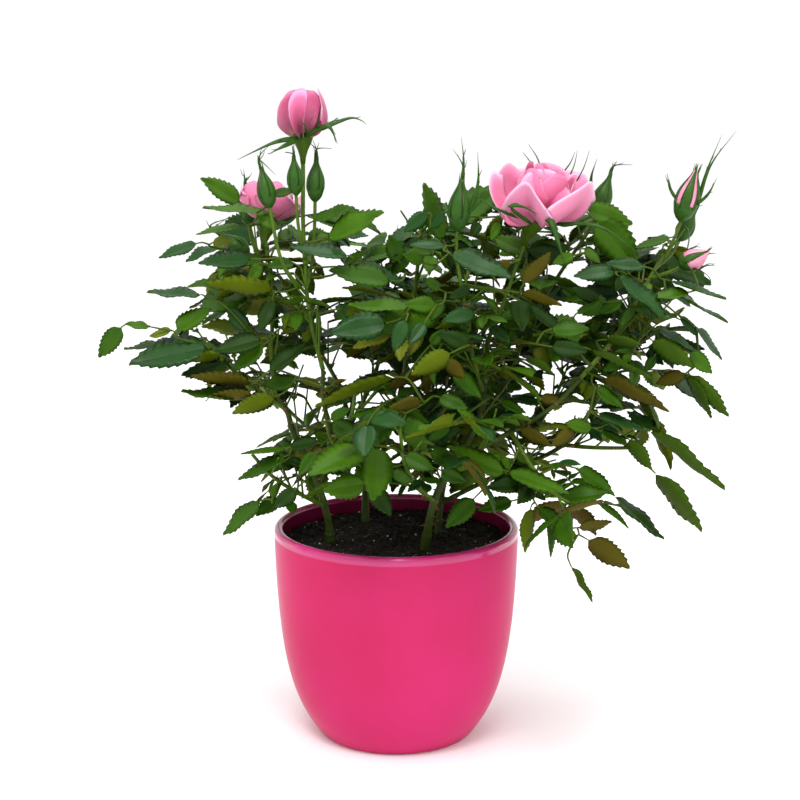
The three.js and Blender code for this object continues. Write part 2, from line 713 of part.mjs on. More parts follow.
// The places where a mass may carry a leaf: down its shoot from the tip, then out its twigs.
function sprout(mass) {
  const random = sequence(mass.seed);
  const shoot = stemCurve(mass.path);
  const twigs = Array.from({ length: mass.twigs }, (_, i) => sideTwig(mass, shoot, i, random));
  const buds = [];
  for (let i = mass.leaves - 1; i >= 0; i -= 1) {
    const t = 0.1 + (0.88 * i) / (mass.leaves - 1);
    const around = mass.turn + LEAF_TURN * i + spread(random, 16);
    const leaf = leafOf(random, mass.size, i % 3 === 0 ? 3 : 5, mass.droop, t);
    buds.push({ start: shoot.getPoint(t), tangent: shoot.getTangent(t), around, leaf });
  }
  for (const path of twigs) {
    const twig = stemCurve(path);
    [1, 0.55].forEach((t, i) => {
      const around = mass.turn + 90 + LEAF_TURN * i + spread(random, 16);
      const leaf = leafOf(random, mass.size * TWIG_LEAF_SCALE, i ? 3 : 5, mass.droop);
      buds.push({ start: twig.getPoint(t), tangent: twig.getTangent(t), around, leaf, path });
    });
  }
  return buds;
}

// Leaves come in turn on every mass, so that none crowds its neighbours out of the crown.
function growLeaves() {
  const start = (mass) => ({ buds: sprout(mass), solids: [], twigs: new Set() });
  const crown = new Map(MASSES.map((mass) => [mass, start(mass)]));
  const most = Math.max(...MASSES.map((mass) => crown.get(mass).buds.length));
  for (let i = 0; i < most; i += 1) {
    for (const [mass, { buds, solids, twigs }] of crown) {
      const grownLeaf = i < buds.length ? growLeaf(mass, buds[i]) : [];
      solids.push(...grownLeaf);
      if (grownLeaf.length && buds[i].path) twigs.add(buds[i].path);
    }
  }
  for (const { solids, twigs } of crown.values()) {
    twigs.forEach((path) => solids.push(stem(path, TWIG_RADIUS, TWIG_RADIUS * TAPER, TWIG_SIDES, 1)));
  }
  return crown;
}

function headOf(stalk) {
  const curve = stemCurve(stalk.path);
  return HEADS[stalk.head](curve.getPoint(1), curve.getTangent(1), stalk);
}

function stalkSolids(mass) {
  const tubes = (mass.stalks ?? []).map(({ path }) => stem(path, STALK_RADIUS, STALK_RADIUS, TWIG_SIDES, 2));
  return [...tubes, ...(mass.stalks ?? []).flatMap(headOf)];
}

// Shoots, stalks and heads take their room before any leaf does.
function reserveStems(mass) {
  occupyStem(mass.name, mass.path, SHOOT_BASE, SHOOT_TIP);
  for (const stalk of mass.stalks ?? []) {
    occupyStem(mass.name, stalk.path, STALK_RADIUS, STALK_RADIUS);
    const curve = stemCurve(stalk.path);
    const rise = stalk.length ?? stalk.height;
    [0.25, 0.75].forEach((t) => {
      const centre = curve.getPoint(1).addScaledVector(curve.getTangent(1), rise * t);
      occupy(mass.name, 'stem', centre, stalk.width / 2);
    });
  }
}

function buildMass(mass, leafy) {
  const shoot = stem(mass.path, SHOOT_BASE, SHOOT_TIP, SHOOT_SIDES, mass.path.length - 1);
  const bearer = LIMBS.find((limb) => limb.name === mass.on);
  return fuse([shoot, ...stalkSolids(mass), ...leafy], limbSolid(bearer, GAP));
}

// ---------------------------------------------------------------- the whole plant

const plant = new THREE.Group();

function add(name, geometry, material) {
  const mesh = new THREE.Mesh(geometry, material);
  mesh.name = name;
  plant.add(mesh);
}

add('pot', buildPot(), GLAZE);
add('soil', buildSoil(), COMPOST);
for (const limb of LIMBS) {
  add(limb.name, geometryOf(buildLimb(limb)), BARK);
  occupyStem(limb.name, limb.path, limb.base, limb.tip);
}
MASSES.forEach(reserveStems);
for (const [mass, { solids }] of growLeaves()) {
  add(mass.name, geometryOf(buildMass(mass, solids)), FOLIAGE);
}

export default plant;
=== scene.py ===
# A miniature rose bush growing in its glazed cover pot: green canes, compound leaves, buds and
# pink roses. The origin is the centre of the pot's flat underside, +Z is up, sizes below are mm.

import json
import math

import bpy
import numpy as np
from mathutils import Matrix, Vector

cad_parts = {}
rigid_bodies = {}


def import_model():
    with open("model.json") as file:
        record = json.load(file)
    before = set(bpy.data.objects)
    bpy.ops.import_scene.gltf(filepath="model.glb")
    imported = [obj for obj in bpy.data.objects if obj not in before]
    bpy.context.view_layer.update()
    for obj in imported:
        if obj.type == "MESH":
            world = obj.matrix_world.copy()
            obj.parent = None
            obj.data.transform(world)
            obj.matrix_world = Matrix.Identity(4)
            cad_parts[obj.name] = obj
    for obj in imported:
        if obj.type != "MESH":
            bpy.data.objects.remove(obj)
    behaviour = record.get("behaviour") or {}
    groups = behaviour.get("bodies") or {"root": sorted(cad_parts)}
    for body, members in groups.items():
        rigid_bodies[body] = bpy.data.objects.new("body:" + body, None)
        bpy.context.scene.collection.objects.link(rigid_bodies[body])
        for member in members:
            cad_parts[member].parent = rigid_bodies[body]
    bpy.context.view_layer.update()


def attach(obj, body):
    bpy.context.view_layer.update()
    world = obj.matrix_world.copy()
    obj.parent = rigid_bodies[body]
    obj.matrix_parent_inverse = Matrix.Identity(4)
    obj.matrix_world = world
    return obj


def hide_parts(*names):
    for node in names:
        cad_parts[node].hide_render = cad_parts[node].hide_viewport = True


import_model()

# ---------------------------------------------------------------- the glazed cover pot
# A plain round cover pot, slip-cast in pale earthenware and dipped in one thick pink glaze.
# The glaze runs a little thinner and more purple over the rounded lip, and the inside of the wall is painted
# dark maroon as painted shade. It stands on its flat foot.

POT_HEIGHT = 114
POT_RIM_RADIUS = 65
POT_WALL = 4.9
POT_FLOOR = 6
# Radius and height of the four points that bend the wall from its foot to its lip.
POT_BEND = ((41.0, 0.0), (56.0, 18.0), (63.5, 40.0), (65.0, 111.55))
POT_SIDES = 144
SOIL_LEVEL = 106
# Iron specks burnt through the glaze: turn in degrees and height.
SPECKS = ((256.2, 85), (255.4, 28), (303.5, 27))
SPECK_SIDES = 8
SPECK_HALF_WIDTH = 0.5
SPECK_HALF_HEIGHT = 0.45
# How deep fine relief goes, in metres, and how far each finish's roughness drifts.
RELIEF_DEPTH = 0.0004
ROUGHNESS_DRIFT = 0.08


def paint(code):
    """The linear colour of a paint code such as #E5407A."""
    parts = [int(code[i:i + 2], 16) / 255 for i in (1, 3, 5)]
    return tuple(c / 12.92 if c <= 0.04045 else ((c + 0.055) / 1.055) ** 2.4 for c in parts) + (1.0,)


def surface(name, colour, other, rough, grain=60, share=0.5, bump=0.0, bump_grain=400,
            coat=0.0, coat_rough=0.1, sheen=0.0, skin=0.0, ior=1.45, shine=0.5):
    """A finish that drifts between two colours, with fine relief and a varying roughness."""
    material = bpy.data.materials.new(name)
    material.use_nodes = True
    nodes, links = material.node_tree.nodes, material.node_tree.links
    shader = nodes["Principled BSDF"]
    where = nodes.new("ShaderNodeTexCoord")
    cloud = nodes.new("ShaderNodeTexNoise")
    cloud.inputs["Scale"].default_value = grain
    cloud.inputs["Detail"].default_value = 4
    links.new(where.outputs["Object"], cloud.inputs["Vector"])
    blend = nodes.new("ShaderNodeValToRGB")
    blend.color_ramp.elements[0].position = max(0.0, 0.5 - share / 2)
    blend.color_ramp.elements[1].position = min(1.0, 0.5 + share / 2)
    blend.color_ramp.elements[0].color = paint(colour)
    blend.color_ramp.elements[1].color = paint(other)
    links.new(cloud.outputs["Fac"], blend.inputs["Fac"])
    links.new(blend.outputs["Color"], shader.inputs["Base Color"])
    gloss = nodes.new("ShaderNodeMapRange")
    gloss.inputs["To Min"].default_value = max(0.02, rough - ROUGHNESS_DRIFT)
    gloss.inputs["To Max"].default_value = min(1.0, rough + ROUGHNESS_DRIFT)
    links.new(cloud.outputs["Fac"], gloss.inputs["Value"])
    links.new(gloss.outputs["Result"], shader.inputs["Roughness"])
    if bump:
        fine = nodes.new("ShaderNodeTexNoise")
        fine.inputs["Scale"].default_value = bump_grain
        fine.inputs["Detail"].default_value = 6
        links.new(where.outputs["Object"], fine.inputs["Vector"])
        relief = nodes.new("ShaderNodeBump")
        relief.inputs["Strength"].default_value = bump
        relief.inputs["Distance"].default_value = RELIEF_DEPTH
        links.new(fine.outputs["Fac"], relief.inputs["Height"])
        links.new(relief.outputs["Normal"], shader.inputs["Normal"])
    shader.inputs["Coat Weight"].default_value = coat
    shader.inputs["Coat Roughness"].default_value = coat_rough
    shader.inputs["Sheen Weight"].default_value = sheen
    shader.inputs["Subsurface Weight"].default_value = skin
    shader.inputs["Subsurface Radius"].default_value = (0.002, 0.001, 0.0008)
    shader.inputs["IOR"].default_value = ior
    shader.inputs["Specular IOR Level"].default_value = shine
    return material


def make_piece(name, points, faces, materials, shades=None, smooth=True):
    """One mesh object from points in mm, with a material number for each face."""
    mesh = bpy.data.meshes.new(name)
    mesh.from_pydata((np.asarray(points, float) * 0.001).tolist(), [], faces)
    for material in materials:
        mesh.materials.append(material)
    if shades is not None:
        mesh.polygons.foreach_set("material_index", np.asarray(shades, int))
    mesh.polygons.foreach_set("use_smooth", np.full(len(faces), smooth))
    mesh.update()
    piece = bpy.data.objects.new(name, mesh)
    bpy.context.scene.collection.objects.link(piece)
    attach(piece, "root")
    return piece


def revolve(profile, sides):
    """Turns a profile of (radius, height) about the pot's axis; radius 0 makes one point."""
    points, rings = [], []
    for radius, height in profile:
        if radius == 0:
            rings.append([len(points)] * sides)
            points.append((0, 0, height))
            continue
        rings.append(list(range(len(points), len(points) + sides)))
        for k in range(sides):
            turn = 2 * math.pi * k / sides
            points.append((radius * math.cos(turn), radius * math.sin(turn), height))
    faces, steps = [], []
    for step, (low, high) in enumerate(zip(rings, rings[1:])):
        for k in range(sides):
            n = (k + 1) % sides
            corners = [low[k], low[n], high[n], high[k]]
            faces.append(tuple(dict.fromkeys(corners)))
            steps.append(step)
    return points, faces, steps


def pot_wall(t):
    """Radius and height of the outer wall at share t of its way up."""
    a, b, c, d = (np.array(p) for p in POT_BEND)
    return a * (1 - t) ** 3 + 3 * b * t * (1 - t) ** 2 + 3 * c * t * t * (1 - t) + d * t ** 3


def wall_radius(height):
    """The outer wall's radius at a height."""
    spots = [pot_wall(i / 400) for i in range(401)]
    return min(spots, key=lambda p: abs(p[1] - height))[0]


lip = POT_WALL / 2
# The flat underside turns up into the wall over a small round corner.
outside = [(0, 0.0), (38.0, 0.0), (40.2, 0.0), (41.1, 0.35)]
outside += [tuple(pot_wall(t)) for t in (*np.linspace(0.025, 0.991, 43), 1)]
crown = [(POT_RIM_RADIUS - lip + lip * math.cos(a), POT_HEIGHT - lip + lip * math.sin(a))
         for a in np.linspace(0, math.pi, 13)[1:]]
inside = [(p[0] - POT_WALL, p[1]) for p in (pot_wall(t) for t in np.linspace(0.985, 0.12, 30))]
inside = [p for p in inside if POT_FLOOR + 3 < p[1] < POT_HEIGHT - lip]
floor_of_pot = [(inside[-1][0] - 4, POT_FLOOR + 0.6), (inside[-1][0] - 8, POT_FLOOR), (0, POT_FLOOR)]
profile = outside + crown + inside + floor_of_pot
points, faces, steps = revolve(profile, POT_SIDES)
lip_start, lip_end = len(outside) - 2, len(outside) + len(crown) - 3
shades = [1 if lip_start <= s <= lip_end else 2 if s > lip_end else 0 for s in steps]
glaze = surface("pink_glaze", "#BA2C58", "#CA326E", 0.3, grain=11, share=0.4, bump=0.05,
                bump_grain=90, coat=0.03, coat_rough=0.12, ior=1.4, shine=0.06)
glaze.node_tree.nodes["Principled BSDF"].inputs["Specular Tint"].default_value = paint("#E8607C")
lip_glaze = surface("thin_lip_glaze", "#B4245E", "#C02A78", 0.2, grain=30, bump=0.05,
                    bump_grain=90, coat=0.3, coat_rough=0.05)
# The inside of the wall is painted dark maroon: painted shade where the crown shades the inside of the pot.
inner_wall_painted_shade = surface("inner_wall_painted_shade", "#7A0A3C", "#8A1246", 0.22, grain=30, bump=0.05,
                      bump_grain=90, coat=0.4, coat_rough=0.08)
speck = surface("iron_speck", "#4A0A1E", "#5A1226", 0.4, grain=300)
for turn, height in SPECKS:
    at, first = wall_radius(height), len(points)
    out = np.array([math.cos(math.radians(turn)), math.sin(math.radians(turn)), 0])
    along = np.array([-out[1], out[0], 0])
    middle = out * (at + 0.12) + np.array([0, 0, height])
    points.append(tuple(middle))
    for k in range(SPECK_SIDES):
        a = 2 * math.pi * k / SPECK_SIDES
        ring = middle - out * 0.4 + along * SPECK_HALF_WIDTH * math.cos(a)
        points.append(tuple(ring + np.array([0, 0, SPECK_HALF_HEIGHT * math.sin(a)])))
    faces += [(first, first + 1 + k, first + 1 + (k + 1) % SPECK_SIDES) for k in range(SPECK_SIDES)]
    shades += [3] * SPECK_SIDES
pot = make_piece("glazed_pot", points, faces, [glaze, lip_glaze, inner_wall_painted_shade, speck], shades)
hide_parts("pot")

# ---------------------------------------------------------------- the compost
# Damp, nearly black potting compost, filled to a thumb's width below the lip and pressed down
# by hand. Crumbs, white perlite, straw and chips of bark lie loose in its top.

SOIL_SIDES = 96
SOIL_RINGS = 40
SOIL_GRAIN = 0.42
SOIL_SKIRT = 92.0
STREWN_REACH = 57.5
PEAT, CRUMBS, PERLITE, CHIPS, STRAW = range(5)
# What lies loose: its kind, how many, smallest and largest half width, flatness and stretch.
LOOSE = (
    (CRUMBS, 1500, 0.35, 1.5, 1.0, 1.0),
    (PEAT, 320, 0.5, 2.2, 1.0, 1.0),
    (PERLITE, 90, 0.25, 0.75, 1.0, 1.0),
    (CHIPS, 60, 0.6, 1.7, 0.35, 2.0),
    (STRAW, 90, 0.22, 0.42, 0.8, 11.0),
)


def sequence(seed):
    """A small repeatable run of random numbers from 0 to 1."""
    state = [seed & 0xFFFFFFFF]

    def draw():
        state[0] = (state[0] * 1664525 + 1013904223) & 0xFFFFFFFF
        return state[0] / 4294967296

    return draw


def spread(draw, width):
    """A random number from -width to width."""
    return (draw() * 2 - 1) * width


class Batch:
    """Many small shapes gathered into one mesh, each face with its material number."""

    def __init__(self):
        self.points, self.faces, self.shades, self.count = [], [], [], 0

    def add(self, points, faces, shade=0):
        self.points.append(np.asarray(points, float))
        self.faces += [tuple(i + self.count for i in face) for face in faces]
        self.shades += [shade] * len(faces) if isinstance(shade, int) else list(shade)
        self.count += len(points)

    def make(self, name, materials, slot, nodes=(), smooth=True):
        piece = make_piece(name, np.concatenate(self.points), self.faces, materials, self.shades, smooth)
        if nodes:
            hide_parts(*nodes)
        return piece


def soil_height(x, y):
    """Low lumps pressed into the surface."""
    lumps = 0.9 * math.sin(x * 0.21 + 1.3) * math.cos(y * 0.17 - 0.4)
    lumps += 0.5 * math.sin(x * 0.55 - y * 0.38) + 0.35 * math.cos(y * 0.83 + x * 0.31)
    return SOIL_LEVEL - 0.6 + lumps


def compost_top():
    """The lumpy top of the compost out to the wall, with a skirt down into the pot."""
    points, faces = [(0, 0, soil_height(0, 0))], []
    sides = SOIL_SIDES
    reach = wall_radius(SOIL_LEVEL) - POT_WALL - 0.15
    roll = sequence(5)
    for ring in range(1, SOIL_RINGS + 1):
        radius = reach * ring / SOIL_RINGS
        for k in range(sides):
            turn = 2 * math.pi * k / sides
            x, y = radius * math.cos(turn), radius * math.sin(turn)
            rough = 0 if ring == SOIL_RINGS else spread(roll, SOIL_GRAIN)
            points.append((x, y, soil_height(x, y) + rough))
    for k in range(sides):
        faces.append((0, 1 + k, 1 + (k + 1) % sides))
    for ring in range(SOIL_RINGS - 1):
        low, high = 1 + ring * sides, 1 + (ring + 1) * sides
        for k in range(sides):
            n = (k + 1) % sides
            faces.append((low + k, high + k, high + n, low + n))
    skirt = len(points)
    last = 1 + (SOIL_RINGS - 1) * sides
    points += [(p[0] * 0.985, p[1] * 0.985, SOIL_SKIRT) for p in points[last:last + sides]]
    for k in range(sides):
        n = (k + 1) % sides
        faces.append((last + k, skirt + k, skirt + n, last + n))
    faces.append(tuple(skirt + k for k in reversed(range(sides))))
    return points, faces


def crumb(draw, size, flat, stretch):
    """A lump with eight uneven sides."""
    corners = [(1, 0, 0), (0, 1, 0), (-1, 0, 0), (0, -1, 0), (0, 0, 1), (0, 0, -1)]
    shape = np.array(corners) * size * np.array([stretch, 1, flat])
    shape *= 1 + np.array([[spread(draw, 0.35)] for _ in corners])
    turn = draw() * 2 * math.pi
    spin = np.array([[math.cos(turn), -math.sin(turn), 0], [math.sin(turn), math.cos(turn), 0],
                     [0, 0, 1]])
    faces = [(0, 1, 4), (1, 2, 4), (2, 3, 4), (3, 0, 4), (1, 0, 5), (2, 1, 5), (3, 2, 5), (0, 3, 5)]
    return shape @ spin.T, faces


def strew(batch, draw, shade, count, low, high, flat, stretch):
    """Lumps of one kind, scattered evenly over the compost and half sunk in it."""
    for _ in range(count):
        radius, turn = STREWN_REACH * math.sqrt(draw()), draw() * 2 * math.pi
        x, y = radius * math.cos(turn), radius * math.sin(turn)
        size = low + (high - low) * draw() ** 2
        lump, faces = crumb(draw, size, flat, stretch)
        lump += np.array([x, y, soil_height(x, y) + size * flat * 0.35])
        batch.add(lump, faces, shade)


soil = Batch()
draw = sequence(77)
top_points, top_faces = compost_top()
soil.add(top_points, top_faces, PEAT)
for kind in LOOSE:
    strew(soil, draw, *kind)
peat = surface("damp_peat", "#0B0907", "#181410", 0.85, grain=700, bump=0.8, bump_grain=1500)
crumbs = surface("peat_crumbs", "#17120E", "#2A2119", 0.9, grain=500, bump=0.6, bump_grain=1800)
perlite = surface("perlite", "#C9C6BC", "#E9E7DF", 0.8, grain=600, bump=0.3)
chips = surface("bark_chips", "#4A2413", "#6A3A20", 0.75, grain=500, bump=0.5)
straw = surface("straw", "#6E5A2E", "#93803F", 0.7, grain=300, bump=0.2)
soil.make("compost", [peat, crumbs, perlite, chips, straw], "compost", ["soil"], smooth=False)

# ---------------------------------------------------------------- canes and boughs
# Green woody rose canes, two in front and two behind, flared where they leave the compost.
# The skin is smooth with fine ridges, a swollen ring at each old leaf, and slim straight prickles.

CANE_SIDES = 14
CANE_STEP = 0.9
FIRST_RING = 8
RING_GAP = 17
RING_WIDTH = 1.3
RING_SWELL = 0.3
PRICKLE_GAP = 5

# Each limb's thickness is its radius at the base and the tip; the flare is added at the compost.
limbs = [
    dict(name="cane_left", base=2.1, tip=1.2, flare=0.7,
         path=[(-35, -7, 106.3), (-36, -8, 118), (-42, -10, 141), (-53, -15, 166), (-56, -18, 178),
               (-62, -18, 187)]),
    dict(name="cane_right", base=2, tip=1.6, flare=0.7,
         path=[(15, -23, 106.3), (18, -28, 127), (23, -28, 142), (34, -27, 160), (43, -25, 178),
               (45, -25, 195)]),
    dict(name="cane_back_right", base=1.6, tip=1.1, flare=0.5,
         path=[(22, 8, 106.3), (25, 14, 128), (31, 28, 152), (36, 38, 178)]),
    dict(name="cane_back_left", base=1.8, tip=1.2, flare=0.6,
         path=[(-17, 30, 106.3), (-18, 38, 130), (-24, 46, 155), (-32, 50, 180)]),
    dict(name="bough_left_inner", parent="cane_left", base=1.4, tip=1.1,
         path=[(-40, -9, 136), (-36, -16, 152), (-34, -20, 168), (-37, -25, 186), (-37, -28, 202)]),
    dict(name="bough_centre", parent="cane_back_left", base=1.3, tip=1,
         path=[(-17.5, 35, 122), (-8, 26, 146), (-1, 18, 170), (4, 12, 192)]),
    dict(name="bough_right_upper", parent="cane_right", base=1.3, tip=1.1,
         path=[(36, -26.5, 165), (44, -8, 174), (52, 4, 181), (61, 12, 192)]),
    dict(name="bough_right_front", parent="cane_right", base=1.4, tip=1.1,
         path=[(29, -27.5, 153), (48, -34, 166), (68, -34, 177), (80, -33, 185), (93, -30, 198)]),
    dict(name="bough_right_low", parent="cane_back_right", base=1.3, tip=1.1,
         path=[(24, 12, 122), (52, 6, 138), (84, 0, 154), (98, 0, 169), (105, 0, 180)]),
]


def place_on(path, t):
    """The point at share t of a smooth curve through the path's points."""
    p = np.array(path, float)
    last = len(p) - 1
    i = int(math.floor(last * t))
    w = last * t - i
    if i >= last:
        i, w = last - 1, 1.0
    before = p[i - 1] if i > 0 else 2 * p[0] - p[1]
    after = p[i + 2] if i + 2 <= last else 2 * p[last] - p[last - 1]
    a, b = p[i], p[i + 1]
    leave, reach = 0.5 * (b - before), 0.5 * (after - a)
    square, cube = 3 * (b - a) - 2 * leave - reach, 2 * (a - b) + leave + reach
    return a + leave * w + square * w * w + cube * w ** 3


def way_on(path, t):
    """The direction of the curve at share t."""
    return unit(place_on(path, min(1, t + 1e-4)) - place_on(path, max(0, t - 1e-4)))


def unit(v):
    return v / np.linalg.norm(v)


def length_of(path):
    spots = np.array([place_on(path, i / 200) for i in range(201)])
    return float(np.linalg.norm(np.diff(spots, axis=0), axis=1).sum())


def closed_rings(rings, sides):
    """The faces of a body of rings that is closed flat at both ends."""
    faces = [tuple(reversed(range(sides)))]
    for i in range(rings - 1):
        for k in range(sides):
            n = (k + 1) % sides
            faces.append((i * sides + k, i * sides + n, (i + 1) * sides + n, (i + 1) * sides + k))
    faces.append(tuple((rings - 1) * sides + k for k in range(sides)))
    return faces


def tube(spots, radii, sides, relief=None):
    """A closed round tube through spots; relief gives each ring's radius a factor by side."""
    spots = np.asarray(spots, float)
    ways = np.gradient(spots, axis=0)
    ways /= np.linalg.norm(ways, axis=1)[:, None]
    across = np.cross(ways[0], (0.31, 0.17, 0.93))
    if np.linalg.norm(across) < 1e-3:
        across = np.cross(ways[0], (1.0, 0.0, 0.0))
    angles = 2 * math.pi * np.arange(sides) / sides
    points = []
    for i, (spot, way) in enumerate(zip(spots, ways)):
        across = unit(across - way * across.dot(way))
        other = np.cross(way, across)
        radius = radii[i] * (relief(i, angles) if relief else np.ones(sides))
        points.append(spot + np.outer(np.cos(angles) * radius, across)
                      + np.outer(np.sin(angles) * radius, other))
    return np.concatenate(points), closed_rings(len(spots), sides)


def prickle(spot, way, out, length):
    """A slim straight thorn with a broad round foot, its point leaning a little down the stem."""
    tip = spot + out * length - way * length * 0.25
    middle = spot + out * length * 0.35 - way * length * 0.02
    return tube([spot - out * 0.3, spot + out * 0.25, middle, tip], [0.75, 0.5, 0.22, 0.03], 6)


def sideways(way, turn):
    """The direction square to a stem that faces a heading round it."""
    heading = np.array([math.cos(turn), math.sin(turn), 0.0])
    return unit(heading - way * heading.dot(way))


def limb_radius(limb, t):
    """The limb's radius at share t; its flare dies away by the second point of its path."""
    steps = len(limb["path"])
    flare = limb.get("flare", 0) * max(0, 1 - t * steps)
    return limb["base"] + (limb["tip"] - limb["base"]) * t + flare


def cane(limb):
    """The limb's own tube with ridges, rings at the old leaves, and its prickles."""
    batch, draw = Batch(), sequence(len(limb["name"]) * 97 + int(limb["path"][0][0]) & 255)
    long = length_of(limb["path"])
    rings = [FIRST_RING + RING_GAP * i + spread(draw, 3) for i in range(int(long / RING_GAP) + 1)]
    shares = np.linspace(0, 1, int(long / CANE_STEP))
    spots = [place_on(limb["path"], t) for t in shares]
    if not limb.get("parent"):
        spots[0] = np.array(spots[0]) * (1, 1, 0) + (0, 0, SOIL_LEVEL - 0.5)
    radii = []
    for t in shares:
        swell = sum(RING_SWELL * math.exp(-((t * long - ring) / RING_WIDTH) ** 2) for ring in rings)
        radii.append(limb_radius(limb, t) * (1 + swell * 0.55))
    phase = draw() * 6

    def relief(i, angles):
        # Five blunt ridges run up the cane, over three broader ones that wander.
        ridge = 0.035 * np.sin(angles * 5 + phase) + 0.02 * np.sin(angles * 3 + i * 0.11)
        return 1 + ridge + 0.012 * np.sin(i * 1.7 + angles * 7)

    batch.add(*tube(spots, radii, CANE_SIDES, relief), 0)
    for ring in rings:
        t = min(0.98, max(0.02, ring / long))
        out = sideways(way_on(limb["path"], t), draw() * 2 * math.pi)
        spot = place_on(limb["path"], t) + out * limb_radius(limb, t) * 0.8
        scar = tube([spot, spot + out * 0.5, spot + out * 0.75], [0.95, 0.85, 0.3], 8)
        batch.add(*scar, 1)
    for _ in range(int(long / PRICKLE_GAP)):
        t = 0.06 + 0.9 * draw()
        way = way_on(limb["path"], t)
        out = sideways(way, draw() * 2 * math.pi)
        spot = place_on(limb["path"], t) + out * limb_radius(limb, t) * 0.9
        batch.add(*prickle(spot, way, out, 2.2 + 1.9 * draw()), 2)
    return batch


cane_green = surface("cane_green", "#24340A", "#3E5210", 0.55, grain=160, share=0.6, bump=0.35,
                     bump_grain=1100, coat=0.05, shine=0.2)
old_bark = surface("old_bark", "#5A3A1C", "#7A5A34", 0.75, grain=400, bump=0.5, bump_grain=1200)
thorn_tan = surface("thorn", "#6B5A24", "#7A3F22", 0.45, grain=500, bump=0.1)
for limb in limbs:
    cane(limb).make(limb["name"] + "_bark", [cane_green, old_bark, thorn_tan], "bark", [limb["name"]])

# ---------------------------------------------------------------- shoots, twigs and flower stalks
# The young growth of the bush. Each shoot leaves its cane or bough and carries leaves by turns of
# two fifths of a circle, with short side twigs, and flower stalks above its topmost leaf.

